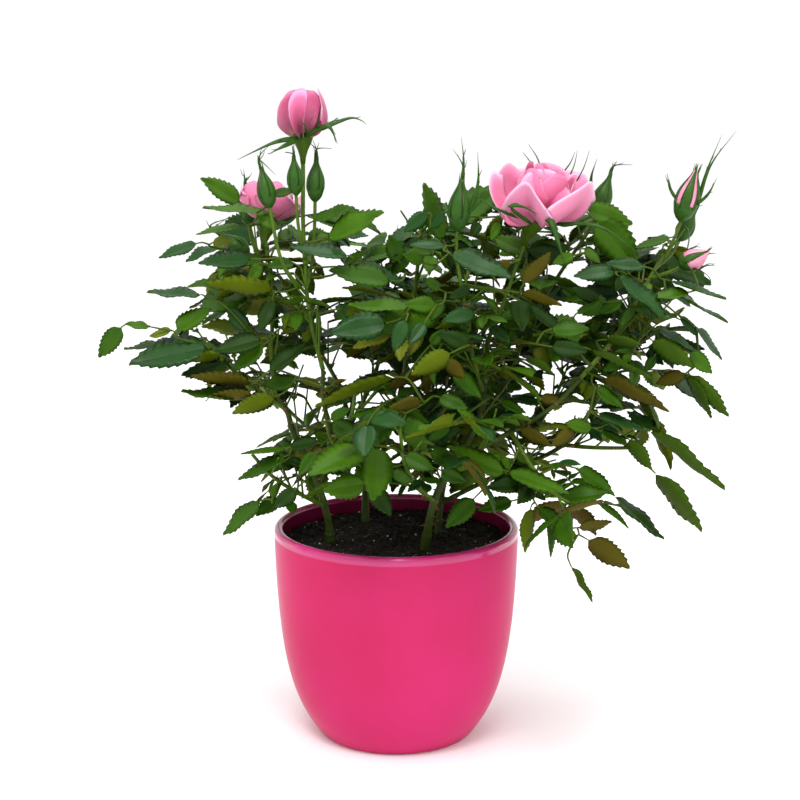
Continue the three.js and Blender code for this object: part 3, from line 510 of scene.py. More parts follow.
# Each mass: the limb that bears it, how many leaves and side twigs, the heading its first leaf
# faces, its largest leaflet, how far its leaves droop, its shoot's path and its flower stalks.
masses = [
    dict(name="mass_left_top", on="bough_left_inner", seed=34, leaves=5, twigs=0, turn=180, size=32,
         path=[(-37, -28, 202.4), (-42, -26, 222), (-45, -23, 240), (-46, -20, 260)],
         stalks=[
             dict(head="bloom", width=27, height=22, sepal=26, open=100,
                  path=[(-46, -21, 255), (-47, -16, 276), (-47, -12, 298), (-47, -10, 321)]),
             dict(head="bud", width=9, length=15, sepal=17,
                  path=[(-45, -23, 243), (-42, -14, 262), (-41, -8, 292)]),
             dict(head="bud", width=9, length=14, sepal=16,
                  path=[(-45, -23, 240), (-57, -30, 258), (-64, -26, 290)]),
             dict(head="bud", width=8, length=13, sepal=12,
                  path=[(-46, -21, 258), (-49, -25, 276), (-50, -26, 296)]),
         ]),
    dict(name="mass_left_outer", on="cane_left", seed=23, leaves=7, twigs=1, turn=30, size=31,
         path=[(-62.2, -18, 187.4), (-64, -15, 212), (-63, -8, 240), (-68, 4, 264)],
         stalks=[
             dict(head="bloom", width=34, height=19, sepal=15, open=95,
                  path=[(-67, 2, 260), (-68, 6, 268), (-67, 9, 275)]),
             dict(head="bud", width=12, length=13, sepal=12,
                  path=[(-65, -2, 249), (-74, 2, 253), (-81, 4, 259)]),
         ]),
    dict(name="mass_left_far", on="cane_left", seed=60, leaves=5, twigs=0, turn=80, size=34, droop=72,
         path=[(-57, -18, 180), (-74, -22, 193), (-88, -23, 206), (-99, -29, 216)]),
    dict(name="mass_left_back", on="cane_back_left", seed=43, leaves=6, twigs=0, turn=50, size=34,
         path=[(-32.2, 50, 180.4), (-46, 53, 204), (-62, 54, 226), (-76, 50, 250)],
         stalks=[
             dict(head="bud", width=10, length=15,
                  path=[(-75, 50, 248), (-79, 49, 262), (-80, 48, 274)]),
         ]),
    dict(name="mass_left_low", on="cane_left", seed=129, leaves=4, twigs=0, turn=150, size=35, droop=71,
         path=[(-38, -9, 126), (-52, -18, 136), (-64, -24, 146), (-74, -26, 158)]),
    dict(name="mass_left_front", on="bough_left_inner", seed=67, leaves=5, twigs=1, turn=220, size=36,
         path=[(-34.5, -19, 163), (-28, -34, 172), (-22, -48, 184), (-20, -56, 198)]),
    dict(name="mass_centre_back", on="cane_back_left", seed=82, leaves=6, twigs=1, turn=340, size=34,
         path=[(-25, 47, 158), (-12, 56, 184), (-6, 58, 214), (-4, 52, 246)],
         stalks=[
             dict(head="bud", width=8, length=10,
                  path=[(-4, 52, 242), (-3, 51, 249), (-2, 50, 254)]),
         ]),
    dict(name="mass_centre", on="bough_centre", seed=186, leaves=7, twigs=0, turn=260, size=31,
         path=[(4.1, 11.8, 192.4), (8, 6, 220), (11, 2, 250), (14, 2, 280)]),
    dict(name="mass_centre_front", on="cane_right", seed=97, leaves=5, twigs=1, turn=170, size=35,
         path=[(20, -28.4, 133), (10, -42, 146), (4, -56, 162), (2, -64, 180)]),
    dict(name="mass_right_bud", on="cane_right", seed=173, leaves=5, twigs=0, turn=280, size=31,
         path=[(44.6, -25.2, 190), (38, -31, 213), (35, -33, 234), (30, -35, 260)],
         stalks=[
             dict(head="bud", width=11, length=18, sepal=27, open=6,
                  path=[(30.5, -35, 257), (30, -35, 269), (31, -35, 281)]),
         ]),
    dict(name="mass_big_rose", on="cane_right", seed=223, leaves=4, twigs=0, turn=50, size=32,
         path=[(45, -25, 195.4), (46, -20, 213), (55, -15, 235), (63, -12, 258)],
         stalks=[
             dict(head="bloom", width=54, height=30, sepal=28, open=92,
                  path=[(62.5, -12, 256), (66, -13, 267), (70, -15, 279)]),
         ]),
    dict(name="mass_right_upper", on="bough_right_upper", seed=127, leaves=6, twigs=1, turn=160, size=33,
         path=[(61.2, 12.2, 192.4), (69, 14, 216), (84, 17, 242), (100, 19, 266)],
         stalks=[
             dict(head="bud", width=10, length=15, sepal=20, open=20,
                  path=[(99, 19, 264), (104, 20, 273), (107, 20, 282)]),
         ]),
    dict(name="mass_right_tall", on="bough_right_front", seed=148, leaves=4, twigs=1, turn=220, size=37,
         droop=40,
         path=[(93.3, -29.8, 198.4), (112, -22, 219), (124, -19, 240), (136, -16, 260)],
         stalks=[
             dict(head="bud", width=12, length=19, sepal=38, open=14,
                  path=[(136, -16, 258), (142, -15, 270), (146, -15, 284)]),
             dict(head="bud", width=9, length=12, sepal=13,
                  path=[(131, -17, 252), (141, -10, 260), (147, -6, 270)]),
             dict(head="bud", width=11, length=12, sepal=15, open=40,
                  path=[(129, -18, 248), (139, -22, 252), (147, -25, 257)]),
         ]),
    dict(name="mass_right_outer", on="bough_right_low", seed=149, leaves=6, twigs=1, turn=330, size=33,
         path=[(105.2, 0, 180.4), (114, -1, 196), (124, -1, 210), (134, 0, 226)]),
    dict(name="mass_right_low", on="bough_right_low", seed=151, leaves=4, twigs=0, turn=40, size=36,
         path=[(88, 0, 157), (100, -10, 158), (112, -16, 159), (122, -20, 160)]),
    dict(name="mass_front_low", on="bough_right_front", seed=163, leaves=4, twigs=0, turn=310, size=32,
         droop=77,
         path=[(58, -34.5, 172), (68, -48, 157), (79, -55, 145), (92, -56, 137)]),
    dict(name="mass_front_right", on="cane_right", seed=178, leaves=5, twigs=1, turn=0, size=35,
         path=[(26, -28, 148), (34, -46, 156), (42, -60, 168), (48, -68, 184)]),
    dict(name="mass_right_back", on="cane_back_right", seed=215, leaves=6, twigs=0, turn=230, size=34,
         path=[(36.2, 38.2, 178.4), (46, 48, 204), (58, 54, 230), (72, 54, 254)],
         stalks=[
             dict(head="bloom", width=34, height=24, sepal=18,
                  path=[(71.5, 54, 252), (75, 53, 264), (76, 52, 276)]),
         ]),
    dict(name="mass_right_back_low", on="bough_right_low", seed=223, leaves=4, twigs=1, turn=80, size=34,
         path=[(60, 5, 142), (72, 24, 154), (84, 42, 168), (94, 54, 184)]),
    dict(name="mass_back_low", on="cane_back_right", seed=199, leaves=6, twigs=0, turn=190, size=34,
         path=[(27, 18, 136), (26, 42, 148), (22, 62, 162), (20, 78, 180)]),
    dict(name="mass_left_back_low", on="cane_back_left", seed=267, leaves=5, twigs=1, turn=110, size=34,
         path=[(-19, 40, 134), (-38, 52, 146), (-58, 62, 160), (-74, 68, 178)]),
]

# Leaves stand two fifths of a turn apart and lean away from their stem, in degrees.
LEAF_TURN = 144
LEAF_LEAN = 58
STEEPEST_LEAF = 62
OUTWARD_LIFT = 0.3
LIGHTWARD = 0.25
USUAL_DROOP = 48
# Where a leaf finds no room it is tried again, turned and leant a little more or less.
SECOND_TRIES = [(0, 0), (20, 0), (-20, 0), (0, -22), (40, 0), (-40, 0), (20, 20), (-20, 20)]
SIDE_TWIG = dict(length=30, lean=50, leaf_size=0.86, low=0.3, gap=0.26)
# A compound leaf's stalk and its pairs of leaflets, as shares of its end leaflet's length.
LEAF_STALK = 0.72
STALK_PER_PAIR = 0.2
TOP_PAIR_AT, PAIR_GAP = 0.75, 0.28
TOP_PAIR_SIZE, PAIR_SHRINK = 0.9, 0.16
PAIR_SPREAD = 62
# A leaflet's width, widest place, fold and drop, as shares of its length.
LEAFLET_WIDTH = 0.62
LEAFLET_WIDEST = 0.42
LEAFLET_FOLD = 0.2
LEAFLET_DROP = 0.14
# Where each leaflet is tested for room: share of its length and side of its midrib.
BLADE_TESTS = [(reach, across) for reach in (0.1, 0.26, 0.42, 0.57, 0.72, 0.86, 0.98)
               for across in (-1, -0.5, 0, 0.5, 1)]
TEST_REACH, TEST_ACROSS = np.array(BLADE_TESTS).T
TEST_HALF = np.minimum(TEST_REACH / LEAFLET_WIDEST, (1 - TEST_REACH) / (1 - LEAFLET_WIDEST)) / 2
STALK_TESTS = (0.3, 0.45, 0.6, 0.75, 0.9, 1)
RACHIS_RADIUS = 0.9
# The space the crown fills, and the room that leaves keep from what has grown before them.
CROWN_TOP = 286
CROWN_MIDDLE = 9
CROWN_HALF_WIDTH = 168
CROWN_LOW_HALF_WIDTH = 108
CROWN_HALF_DEPTH = 128
CROWN_SHOULDER = 172
CROWN_SHOULDER_RISE = 20
LOWEST_LEAF = 84
CLEAR = dict(others=3.6, own=2.0, stems=2.6, pot=3.0)
WIDEST_ROOM = 4
MOST_IN_OPENING = 0.05
MOST_HIDDEN = 0.3
FOREMOST_LEAVES = -106
SHOOT_BASE = 1.25
SHOOT_TIP = 0.9
STALK_RADIUS = 0.9
UP = np.array([0.0, 0.0, 1.0])
# The place that the bush's front faces, level with its upper leaves.
FRONT = np.array([2.0, -900.0, 365.0])

# Open places in the crown, seen from the front: x, z, half width and half height.
OPEN = np.array([
    (1, 111, 68, 15), (-104, 151, 35, 22), (-71, 168, 14, 6), (-47, 179, 6, 9), (-23, 199, 13, 8),
    (-50, 195, 7, 3), (-26, 176, 9, 6), (-32, 239, 11, 6), (-28, 257, 13, 4), (-34, 221, 5, 6),
    (-87, 221, 8, 4), (-112, 248, 15, 4), (-99, 93, 28, 21), (-85, 130, 14, 5), (106, 153, 16, 7),
    (126, 136, 12, 7), (82, 172, 7, 3), (98, 175, 8, 3), (84, 192, 5, 4), (84, 227, 6, 4), (87, 250, 5, 6),
    (65, 177, 6, 4), (50, 188, 3, 5), (-2, 280, 8, 10), (133, 279, 12, 10), (164, 264, 8, 9),
    (161, 154, 15, 9), (154, 124, 6, 10), (131, 88, 32, 16), (86, 85, 16, 9), (-139, 233, 17, 6),
    (143, 182, 10, 6), (-116, 273, 17, 11), (-121, 187, 15, 16), (-88, 306, 21, 11), (-128, 230, 16, 5),
    (-101, 176, 12, 5), (154, 170, 13, 6), (42, 278, 5, 7), (163, 256, 6, 5), (133, 201, 4, 4),
    (-74, 201, 4, 4), (-46, 201, 5, 5), (-15, 181, 8, 4), (-4, 148, 5, 4), (153, 227, 7, 5),
    (-56, 139, 5, 4), (-64, 165, 6, 4), (-140, 210, 8, 4),
])

# Leaflets of the outer sprays: foot, tip, tilt in degrees from facing the front, and their tone.
hand_leaflets = [
    (-138, -30, 225, -150, -32, 210, 24, 2), (-124, -30, 225, -135, -34, 227, 46, 3),
    (-113, -30, 223, -125, -26, 220, 45, 4), (-94, -32, 215, -133, -38, 211, 57, 1),
    (-88, -30, 210, -112, -24, 205, 120, 5), (-83, -28, 207, -111, -20, 199, 66, 0),
    (-111, -30, 223, -96, -20, 234, 24, 3), (-98, -22, 240, -125, -26, 243, 73, 1),
    (-61, -30, 243, -95, -38, 248, 115, 5), (-72, -28, 259, -98, -34, 258, 52, 1),
    (-101, -10, 265, -120, -14, 257, 65, 1), (-94, -10, 265, -83, -14, 267, 45, 4),
    (-80, 5, 284, -100, 0, 297, 41, 3), (-62, -20, 281, -96, -26, 284, 78, 3),
    (-78, -14, 274, -101, -18, 272, 61, 3), (-69, -24, 280, -59, -26, 275, 0, 3),
    (-64, -18, 290, -48, -24, 294, 61, 2), (-35, -30, 270, -6, -40, 282, 43, 3),
    (-42, -20, 277, -21, -26, 284, 69, 2), (-23, -40, 262, -51, -46, 267, 72, 1),
    (-2, -36, 249, -32, -42, 255, 58, 2), (-26, -30, 255, -15, -34, 264, 50, 3),
    (8, -44, 238, -23, -50, 240, 68, 3), (-4, -56, 231, -31, -62, 228, 19, 1),
    (-64, -40, 204, -45, -34, 217, 43, 0), (-67, -36, 220, -90, -40, 215, 41, 0),
    (-66, -36, 217, -82, -38, 206, 42, 2), (-75, -24, 222, -86, -22, 234, 0, 1),
    (-62, -30, 239, -67, -36, 224, 0, 0), (-79, -30, 189, -108, -34, 193, 76, 2),
    (-73, -32, 196, -103, -38, 199, 111, 7), (-71, -34, 190, -95, -36, 190, 116, 7),
    (-61, -34, 190, -83, -30, 182, 130, 5), (-50, -36, 199, -68, -30, 195, 44, 2),
    (-48, -36, 200, -37, -34, 194, 126, 7), (0, -60, 205, -39, -64, 192, 112, 5),
    (3, -62, 188, -22, -66, 188, 55, 2), (-32, -40, 197, -25, -40, 200, 136, 7),
    (-33, -44, 180, -23, -46, 186, 20, 2), (-32, -50, 180, -15, -58, 173, 0, 2),
    (-25, -56, 168, 3, -60, 183, 43, 2), (-56, -30, 162, -79, -34, 160, 72, 3),
    (-56, -34, 159, -80, -38, 148, 52, 2), (-54, -36, 164, -39, -40, 169, 43, 0),
    (-40, -40, 163, -48, -46, 152, 0, 2), (-31, -56, 169, -25, -64, 157, 0, 1),
    (-15, -62, 152, -35, -68, 149, 0, 3), (-12, -56, 150, -4, -62, 135, 0, 0),
    (-51, -40, 143, -61, -44, 134, 0, 0), (-63, -38, 138, -61, -36, 146, 157, 6),
    (-69, -36, 136, -89, -40, 121, 60, 2), (-2, -56, 157, 8, -60, 151, 0, 2),
    (24, -20, 267, 13, -24, 295, 53, 2), (16, -30, 282, 4, -34, 274, 0, 1),
    (17, -30, 275, 25, -34, 282, 33, 1), (25, -40, 267, 7, -46, 268, 63, 1),
    (26, -52, 265, 56, -62, 255, 61, 1), (57, -44, 259, 44, -48, 255, 154, 7),
    (4, -24, 268, -3, -28, 260, 0, 1), (14, -36, 258, 4, -40, 264, 17, 2),
    (20, -50, 239, 5, -56, 240, 0, 3), (2, -26, 257, -4, -30, 271, 4, 2), (5, -64, 234, -2, -68, 220, 0, 1),
    (14, -60, 232, 7, -66, 222, 0, 1), (27, -66, 218, 8, -72, 208, 158, 5),
    (24, -60, 213, 34, -60, 205, 167, 7), (13, -66, 194, -3, -70, 191, 140, 7),
    (37, -40, 246, 27, -44, 241, 0, 0), (22, -40, 245, 14, -44, 251, 0, 2),
    (39, -46, 235, 24, -52, 231, 25, 1), (50, -30, 258, 37, -36, 258, 0, 0),
    (62, -56, 250, 75, -62, 265, 121, 7), (61, -50, 245, 81, -54, 240, 122, 7),
    (86, -4, 256, 68, -8, 263, 26, 0), (36, -56, 220, 21, -60, 226, 0, 0),
    (17, -50, 219, 24, -52, 227, 0, 2), (29, -50, 207, 40, -56, 193, 41, 2),
    (21, -60, 195, 34, -66, 189, 21, 2), (0, -60, 181, 17, -66, 180, 0, 2),
    (27, -50, 179, 16, -50, 171, 20, 2), (54, -70, 159, 26, -74, 173, 55, 3),
    (54, -70, 160, 84, -76, 151, 52, 3), (48, -66, 174, 30, -70, 190, 55, 3),
    (39, -64, 145, 25, -70, 132, 23, 2), (58, -62, 143, 41, -66, 139, 36, 2),
    (22, -60, 158, 34, -66, 153, 0, 2), (4, -62, 166, 18, -68, 160, 0, 2),
    (27, -62, 166, 17, -64, 168, 15, 2), (52, -40, 189, 65, -40, 183, 42, 2),
    (62, -40, 174, 78, -44, 167, 134, 7), (59, -40, 161, 72, -44, 158, 128, 6),
    (100, -20, 278, 125, -10, 254, 0, 3), (97, -4, 282, 122, 4, 272, 30, 3),
    (109, -44, 253, 134, -52, 234, 60, 1), (109, -40, 255, 88, -44, 253, 50, 1),
    (124, -36, 256, 104, -40, 257, 50, 1), (139, -20, 269, 121, -16, 264, 57, 2),
    (146, -40, 244, 126, -44, 243, 56, 3), (136, -34, 249, 163, -44, 242, 76, 1),
    (136, -34, 244, 166, -30, 229, 79, 1), (131, -30, 224, 151, -34, 214, 67, 1),
    (144, -20, 229, 153, -22, 219, 57, 1), (153, -20, 223, 166, -18, 205, 73, 1),
    (128, -34, 219, 149, -34, 205, 137, 6), (148, -30, 212, 160, -30, 202, 16, 3),
    (149, -26, 200, 168, -30, 179, 117, 6), (149, -26, 200, 161, -22, 177, 117, 6),
    (147, -26, 200, 133, -24, 195, 180, 7), (132, -20, 208, 128, -20, 200, 0, 2),
    (103, -36, 200, 136, -44, 184, 112, 7), (101, -40, 183, 124, -46, 175, 64, 1),
    (96, -44, 216, 126, -50, 201, 112, 6), (128, -34, 173, 166, -44, 146, 109, 6),
    (132, -32, 150, 156, -40, 122, 110, 6), (118, -34, 168, 130, -36, 153, 139, 6),
    (103, -38, 173, 116, -40, 166, 54, 2), (110, -44, 141, 135, -52, 121, 74, 0),
    (91, -44, 155, 110, -46, 143, 55, 2), (92, -44, 124, 109, -46, 127, 135, 7),
    (97, -44, 118, 118, -46, 104, 144, 7), (92, -44, 120, 81, -46, 121, 180, 5),
    (89, -44, 104, 99, -48, 86, 106, 6), (68, -48, 136, 64, -52, 114, 129, 5),
    (77, -48, 129, 79, -54, 112, 61, 2), (71, -50, 137, 88, -54, 120, 54, 2),
    (82, -52, 142, 105, -58, 145, 34, 2), (78, -50, 144, 67, -52, 151, 31, 2),
    (76, -50, 227, 94, -56, 228, 32, 2), (76, -54, 219, 93, -60, 218, 0, 0),
    (100, -40, 196, 113, -44, 186, 33, 2), (73, -30, 189, 84, -34, 186, 180, 7),
    (90, -40, 174, 78, -44, 166, 149, 7), (99, -40, 175, 85, -42, 177, 18, 3),
    (102, -34, 239, 89, -38, 246, 0, 0), (90, -34, 232, 103, -38, 240, 57, 2),
    (90, -40, 217, 84, -40, 229, 5, 2), (104, -40, 220, 121, -46, 218, 119, 6),
    (113, -34, 239, 102, -34, 232, 35, 2), (52, -20, 277, 48, -24, 268, 0, 3),
    (42, -24, 277, 37, -30, 271, 0, 0), (95, -20, 263, 103, -24, 257, 33, 3),
    (89, -30, 261, 78, -34, 258, 0, 3),
]

# Everything grown so far, as small balls: x, y, z, radius, owner's number, 1 for a stem.
grown = np.zeros((0, 6))
owners = {limb["name"]: i for i, limb in enumerate(limbs)}
owners.update({mass["name"]: i + len(limbs) for i, mass in enumerate(masses)})


def occupy(balls):
    global grown
    grown = np.concatenate([grown, np.array(balls, float).reshape(-1, 6)])


def occupy_stem(owner, path, base, tip):
    steps = math.ceil(length_of(path) / 4)
    shares = [i / steps for i in range(steps + 1)]
    occupy([[*place_on(path, t), base + (tip - base) * t, owners[owner], 1] for t in shares])


def departure(tangent, around, lean):
    """The way a leaf or twig leaves its stem, turned a little up to the light."""
    out = np.array([math.cos(math.radians(around)), math.sin(math.radians(around)), OUTWARD_LIFT])
    out = unit(out - tangent * out.dot(tangent))
    out = out * math.sin(math.radians(lean)) + tangent * math.cos(math.radians(lean))
    out[2] += LIGHTWARD
    return unit(out)


def leaflet(root, face, off, length, hang):
    """A leaflet's foot, directions and size; it stands off the leaf's stalk by an angle."""
    along = unit(face["along"] * math.cos(off) + face["side"] * math.sin(off) - face["normal"] * hang)
    side = unit(np.cross(face["normal"], along))
    return dict(root=root, along=along, side=side, normal=np.cross(along, side), length=length,
                width=length * LEAFLET_WIDTH)


def compound_leaf(start, heading, rise, size, count, droop, roll):
    """A stalk with leaflets in pairs and one at its end, all hanging by droop."""
    pairs = (count - 1) // 2
    reach = size * (LEAF_STALK + STALK_PER_PAIR * pairs)
    climb = math.radians(rise - droop * 0.45)
    along = np.array([math.cos(heading) * math.cos(climb), math.sin(heading) * math.cos(climb),
                      math.sin(climb)])
    side = np.array([-math.sin(heading), math.cos(heading), 0.0])
    side = side * math.cos(math.radians(roll)) + np.cross(along, side) * math.sin(math.radians(roll))
    face = dict(along=along, side=side, normal=np.cross(along, side))
    hang = math.tan(math.radians(droop * 0.35))
    blades = []
    for pair in range(pairs):
        share = TOP_PAIR_AT - PAIR_GAP * pair
        length = size * (TOP_PAIR_SIZE - PAIR_SHRINK * pair)
        for off in (math.radians(PAIR_SPREAD), -math.radians(PAIR_SPREAD)):
            blades.append(leaflet(start + along * reach * share, face, off, length, hang * 0.8))
            blades[-1]["share"] = share
    blades.append(leaflet(start + along * reach, face, 0, size, hang))
    blades[-1]["share"] = 1
    stalk = [start + along * reach * share for share in STALK_TESTS]
    return dict(start=start, reach=reach, face=face, blades=blades, stalk=np.array(stalk), size=size)


def blade_places(blade):
    """The spots on a leaflet that are tested for room."""
    half = blade["width"] * TEST_HALF
    lift = np.abs(TEST_ACROSS) * half * LEAFLET_FOLD - TEST_REACH * blade["length"] * LEAFLET_DROP
    return (blade["root"] + np.outer(TEST_REACH * blade["length"], blade["along"])
            + np.outer(TEST_ACROSS * half, blade["side"]) + np.outer(lift, blade["normal"]))


def clear_of_pot(p):
    """True where no spot cuts into the pot or the compost, or hangs below the lowest leaf."""
    out = np.hypot(p[:, 0], p[:, 1])
    outer = (p[:, 2] > POT_HEIGHT + CLEAR["pot"]) | (out > POT_RIM_RADIUS + CLEAR["pot"])
    inner = (out < POT_RIM_RADIUS - POT_WALL - CLEAR["pot"]) & (p[:, 2] > SOIL_LEVEL + CLEAR["pot"])
    return bool(((p[:, 2] >= LOWEST_LEAF) & (outer | inner)).all())


def inside_crown(p):
    """True where every spot lies within the crown, which is narrower low on its left."""
    wide = np.clip((p[:, 2] - CROWN_SHOULDER) / CROWN_SHOULDER_RISE, 0, 1)
    left = CROWN_LOW_HALF_WIDTH + (CROWN_HALF_WIDTH - CROWN_LOW_HALF_WIDTH) * wide
    half = np.where((p[:, 0] < CROWN_MIDDLE) & (p[:, 1] < 0), left, CROWN_HALF_WIDTH)
    oval = np.hypot((p[:, 0] - CROWN_MIDDLE) / half, p[:, 1] / CROWN_HALF_DEPTH)
    return bool(((p[:, 2] < CROWN_TOP) & (oval < 1)).all())


def as_seen(p):
    """Where points show on the upright plane through the pot's middle, seen from the front."""
    share = -FRONT[1] / (p[:, 1] - FRONT[1])
    return FRONT[0] + (p[:, 0] - FRONT[0]) * share, FRONT[2] + (p[:, 2] - FRONT[2]) * share


def in_opening(p):
    """The share of points that would close an open place in the crown."""
    x, z = as_seen(p)
    wide = ((x[:, None] - OPEN[:, 0]) / OPEN[:, 2]) ** 2 + ((z[:, None] - OPEN[:, 1]) / OPEN[:, 3]) ** 2
    return (wide < 1).any(1).mean()


def hides(p, count):
    """How much of a leaflet would hang before the outer sprays or the main stems."""
    x, z = as_seen(p)
    at_x, at_z, way_x, way_z, half_long, half_wide, depth = in_view.T
    dx, dz = x[:, None] - at_x, z[:, None] - at_z
    along, across = dx * way_x + dz * way_z, dz * way_x - dx * way_z
    over = (along / half_long) ** 2 + (across / half_wide) ** 2 < 1
    return (over & (p[:, 1:2] < depth)).any(1).reshape(count, -1).mean(1).max()


def has_room(leaf, owner, clear, near):
    """True where a leaf is clear of the pot and all that has grown, and leaves the openings open."""
    blades = np.concatenate([blade_places(blade) for blade in leaf["blades"]])
    if not clear_of_pot(blades) or not inside_crown(blades) or in_opening(blades) > MOST_IN_OPENING:
        return False
    if hides(blades, len(leaf["blades"])) > MOST_HIDDEN and blades[:, 1].min() > FOREMOST_LEAVES:
        return False
    tests = np.concatenate([blades, leaf["stalk"]])
    edge = near[:, 3:4] + WIDEST_ROOM
    balls = near[((near[:, :3] > tests.min(0) - edge) & (near[:, :3] < tests.max(0) + edge)).all(1)]
    own = balls[:, 4] == owner
    room = np.where(balls[:, 5] == 1, clear["stems"], np.where(own, clear["own"], clear["others"]))
    room = room + balls[:, 3]
    gap = np.linalg.norm(blades[:, None] - balls[None, :, :3], axis=2) - room
    if (gap <= 0).any():
        return False
    others = balls[~own]
    gap = np.linalg.norm(leaf["stalk"][:, None] - others[None, :, :3], axis=2) - room[~own]
    return not (gap <= 0).any()


def settle(leaf, owner):
    """Adds a leaf's leaflets and stalk to what has grown."""
    blades = np.concatenate([blade_places(blade) for blade in leaf["blades"]])
    occupy(np.hstack([blades, np.tile([0, owner, 0], (len(blades), 1))]))
    occupy(np.hstack([leaf["stalk"], np.tile([RACHIS_RADIUS, owner, 0], (len(leaf["stalk"]), 1))]))


def grow_leaf(mass, bud, scales=(1, 0.78), clear=CLEAR):
    """Tries a leaf at its place, then turned, raised or smaller; it is skipped where none is free."""
    span = bud["size"] * (1.8 + 0.1 * bud["count"]) + 20
    near = grown[(np.abs(grown[:, :3] - bud["start"]) < span).all(1)]
    for scale in scales:
        for turn, lean in SECOND_TRIES:
            way = departure(bud["way"], bud["around"] + turn, LEAF_LEAN + lean)
            rise = min(STEEPEST_LEAF, max(0, math.degrees(math.asin(way[2]))))
            leaf = compound_leaf(bud["start"], math.atan2(way[1], way[0]), rise, bud["size"] * scale,
                                 bud["count"], bud["droop"], bud["roll"])
            if has_room(leaf, owners[mass["name"]], clear, near):
                settle(leaf, owners[mass["name"]])
                leaf["mass"] = mass["name"]
                return leaf
    return None


def leaf_of(draw, size, count, droop, height=0.5):
    """A leaf's size, droop and roll, all a little uneven; low leaves droop more."""
    sized = size * (1 + spread(draw, 0.16))
    hung = droop * (1.3 - 0.6 * height) + spread(draw, 20)
    return dict(size=sized, count=count, droop=hung, roll=spread(draw, 32))


def side_twig(mass, index, draw):
    """The two ends of a short twig on the far side of a mass's shoot."""
    t = SIDE_TWIG["low"] + SIDE_TWIG["gap"] * index
    start = place_on(mass["path"], t)
    around = mass["turn"] + 180 + 150 * index + spread(draw, 20)
    way = departure(way_on(mass["path"], t), around, SIDE_TWIG["lean"])
    long = SIDE_TWIG["length"] + spread(draw, 6)
    return [tuple(start), tuple(start + way * long + UP * long * 0.14)]


def sprout(mass):
    """The places where a mass may carry a leaf: down its shoot from the tip, then out its twigs."""
    draw = sequence(mass["seed"])
    droop = mass.get("droop", USUAL_DROOP)
    twigs = [side_twig(mass, i, draw) for i in range(mass["twigs"])]
    buds = []
    for i in reversed(range(mass["leaves"])):
        t = 0.1 + (0.88 * i) / (mass["leaves"] - 1)
        around = mass["turn"] + LEAF_TURN * i + spread(draw, 16)
        leaf = leaf_of(draw, mass["size"], 3 if i % 3 == 0 else 5, droop, t)
        buds.append(dict(start=place_on(mass["path"], t), way=way_on(mass["path"], t), around=around, **leaf))
    for path in twigs:
        for i, t in enumerate((1, 0.55)):
            around = mass["turn"] + 90 + LEAF_TURN * i + spread(draw, 16)
            leaf = leaf_of(draw, mass["size"] * SIDE_TWIG["leaf_size"], 3 if i else 5, droop)
            buds.append(dict(start=place_on(path, t), way=way_on(path, t), around=around, twig=path, **leaf))
    return buds


for limb in limbs:
    occupy_stem(limb["name"], limb["path"], limb["base"], limb["tip"])
for mass in masses:
    occupy_stem(mass["name"], mass["path"], SHOOT_BASE, SHOOT_TIP)
    for stalk in mass.get("stalks", []):
        occupy_stem(mass["name"], stalk["path"], STALK_RADIUS, STALK_RADIUS)
        rise = stalk.get("length", stalk.get("height"))
        for t in (0.25, 0.75):
            centre = place_on(stalk["path"], 1) + way_on(stalk["path"], 1) * rise * t
            occupy([[*centre, stalk["width"] / 2, owners[mass["name"]], 1]])


def set_leaflet(row):
    """A leaflet of the outer sprays, from its row of the table."""
    foot, tip = np.array(row[:3], float), np.array(row[3:6], float)
    long, tilt = np.linalg.norm(tip - foot), math.radians(row[6])
    along = unit(tip - foot)
    facing = unit(FRONT - tip - along * along.dot(FRONT - tip))
    upper = np.cross(along, facing)
    normal = facing * math.cos(tilt) + upper * math.copysign(math.sin(tilt), upper[2])
    along = unit(tip + normal * long * LEAFLET_DROP - foot)
    side = unit(np.cross(normal, along))
    return dict(root=foot, along=along, side=side, normal=np.cross(along, side), length=long,
                width=long * LEAFLET_WIDTH, tone=row[7])


def join_up(blades, joints):
    """Each leaflet's stalk runs from the nearest stem or stalk that lies behind it."""
    gap = [np.linalg.norm(joints - blade["root"], axis=1).min() for blade in blades]
    for blade in [blades[i] for i in np.argsort(gap)]:
        way = (blade["root"] - joints) * (1.5, 0.8, 1.5)
        far = np.linalg.norm(way, axis=1) + 0.01
        best = np.argmin(far * (1.7 - way.dot(blade["along"]) / far) + 40 * (far < 5))
        start = joints[best]
        long = np.linalg.norm(blade["root"] - start)
        bend = blade["root"] * 0.8 + start * 0.2 - blade["along"] * long * 0.22
        blade["path"] = [tuple(start), tuple(bend), tuple(blade["root"])]
        joints = np.concatenate([joints, [place_on(blade["path"], t) for t in np.linspace(0.4, 1, 6)]])
        blade["bearing"] = 0.5 + 0.012 * long


def ovals(near_end, far_end, margin, slimness, least):
    """Ovals over spans in front view: middle, direction, half length, half width and depth."""
    (x, z), (far_x, far_z) = as_seen(near_end), as_seen(far_end)
    long = np.hypot(far_x - x, far_z - z)
    return np.column_stack([(x + far_x) / 2, (z + far_z) / 2, (far_x - x) / long, (far_z - z) / long,
                            long / 2 + margin, long * slimness + least, near_end[:, 1]])


set_leaflets = [set_leaflet(row) for row in hand_leaflets]
feet = np.array([blade["root"] for blade in set_leaflets])
tips = np.array([blade["root"] + blade["along"] * blade["length"] for blade in set_leaflets])
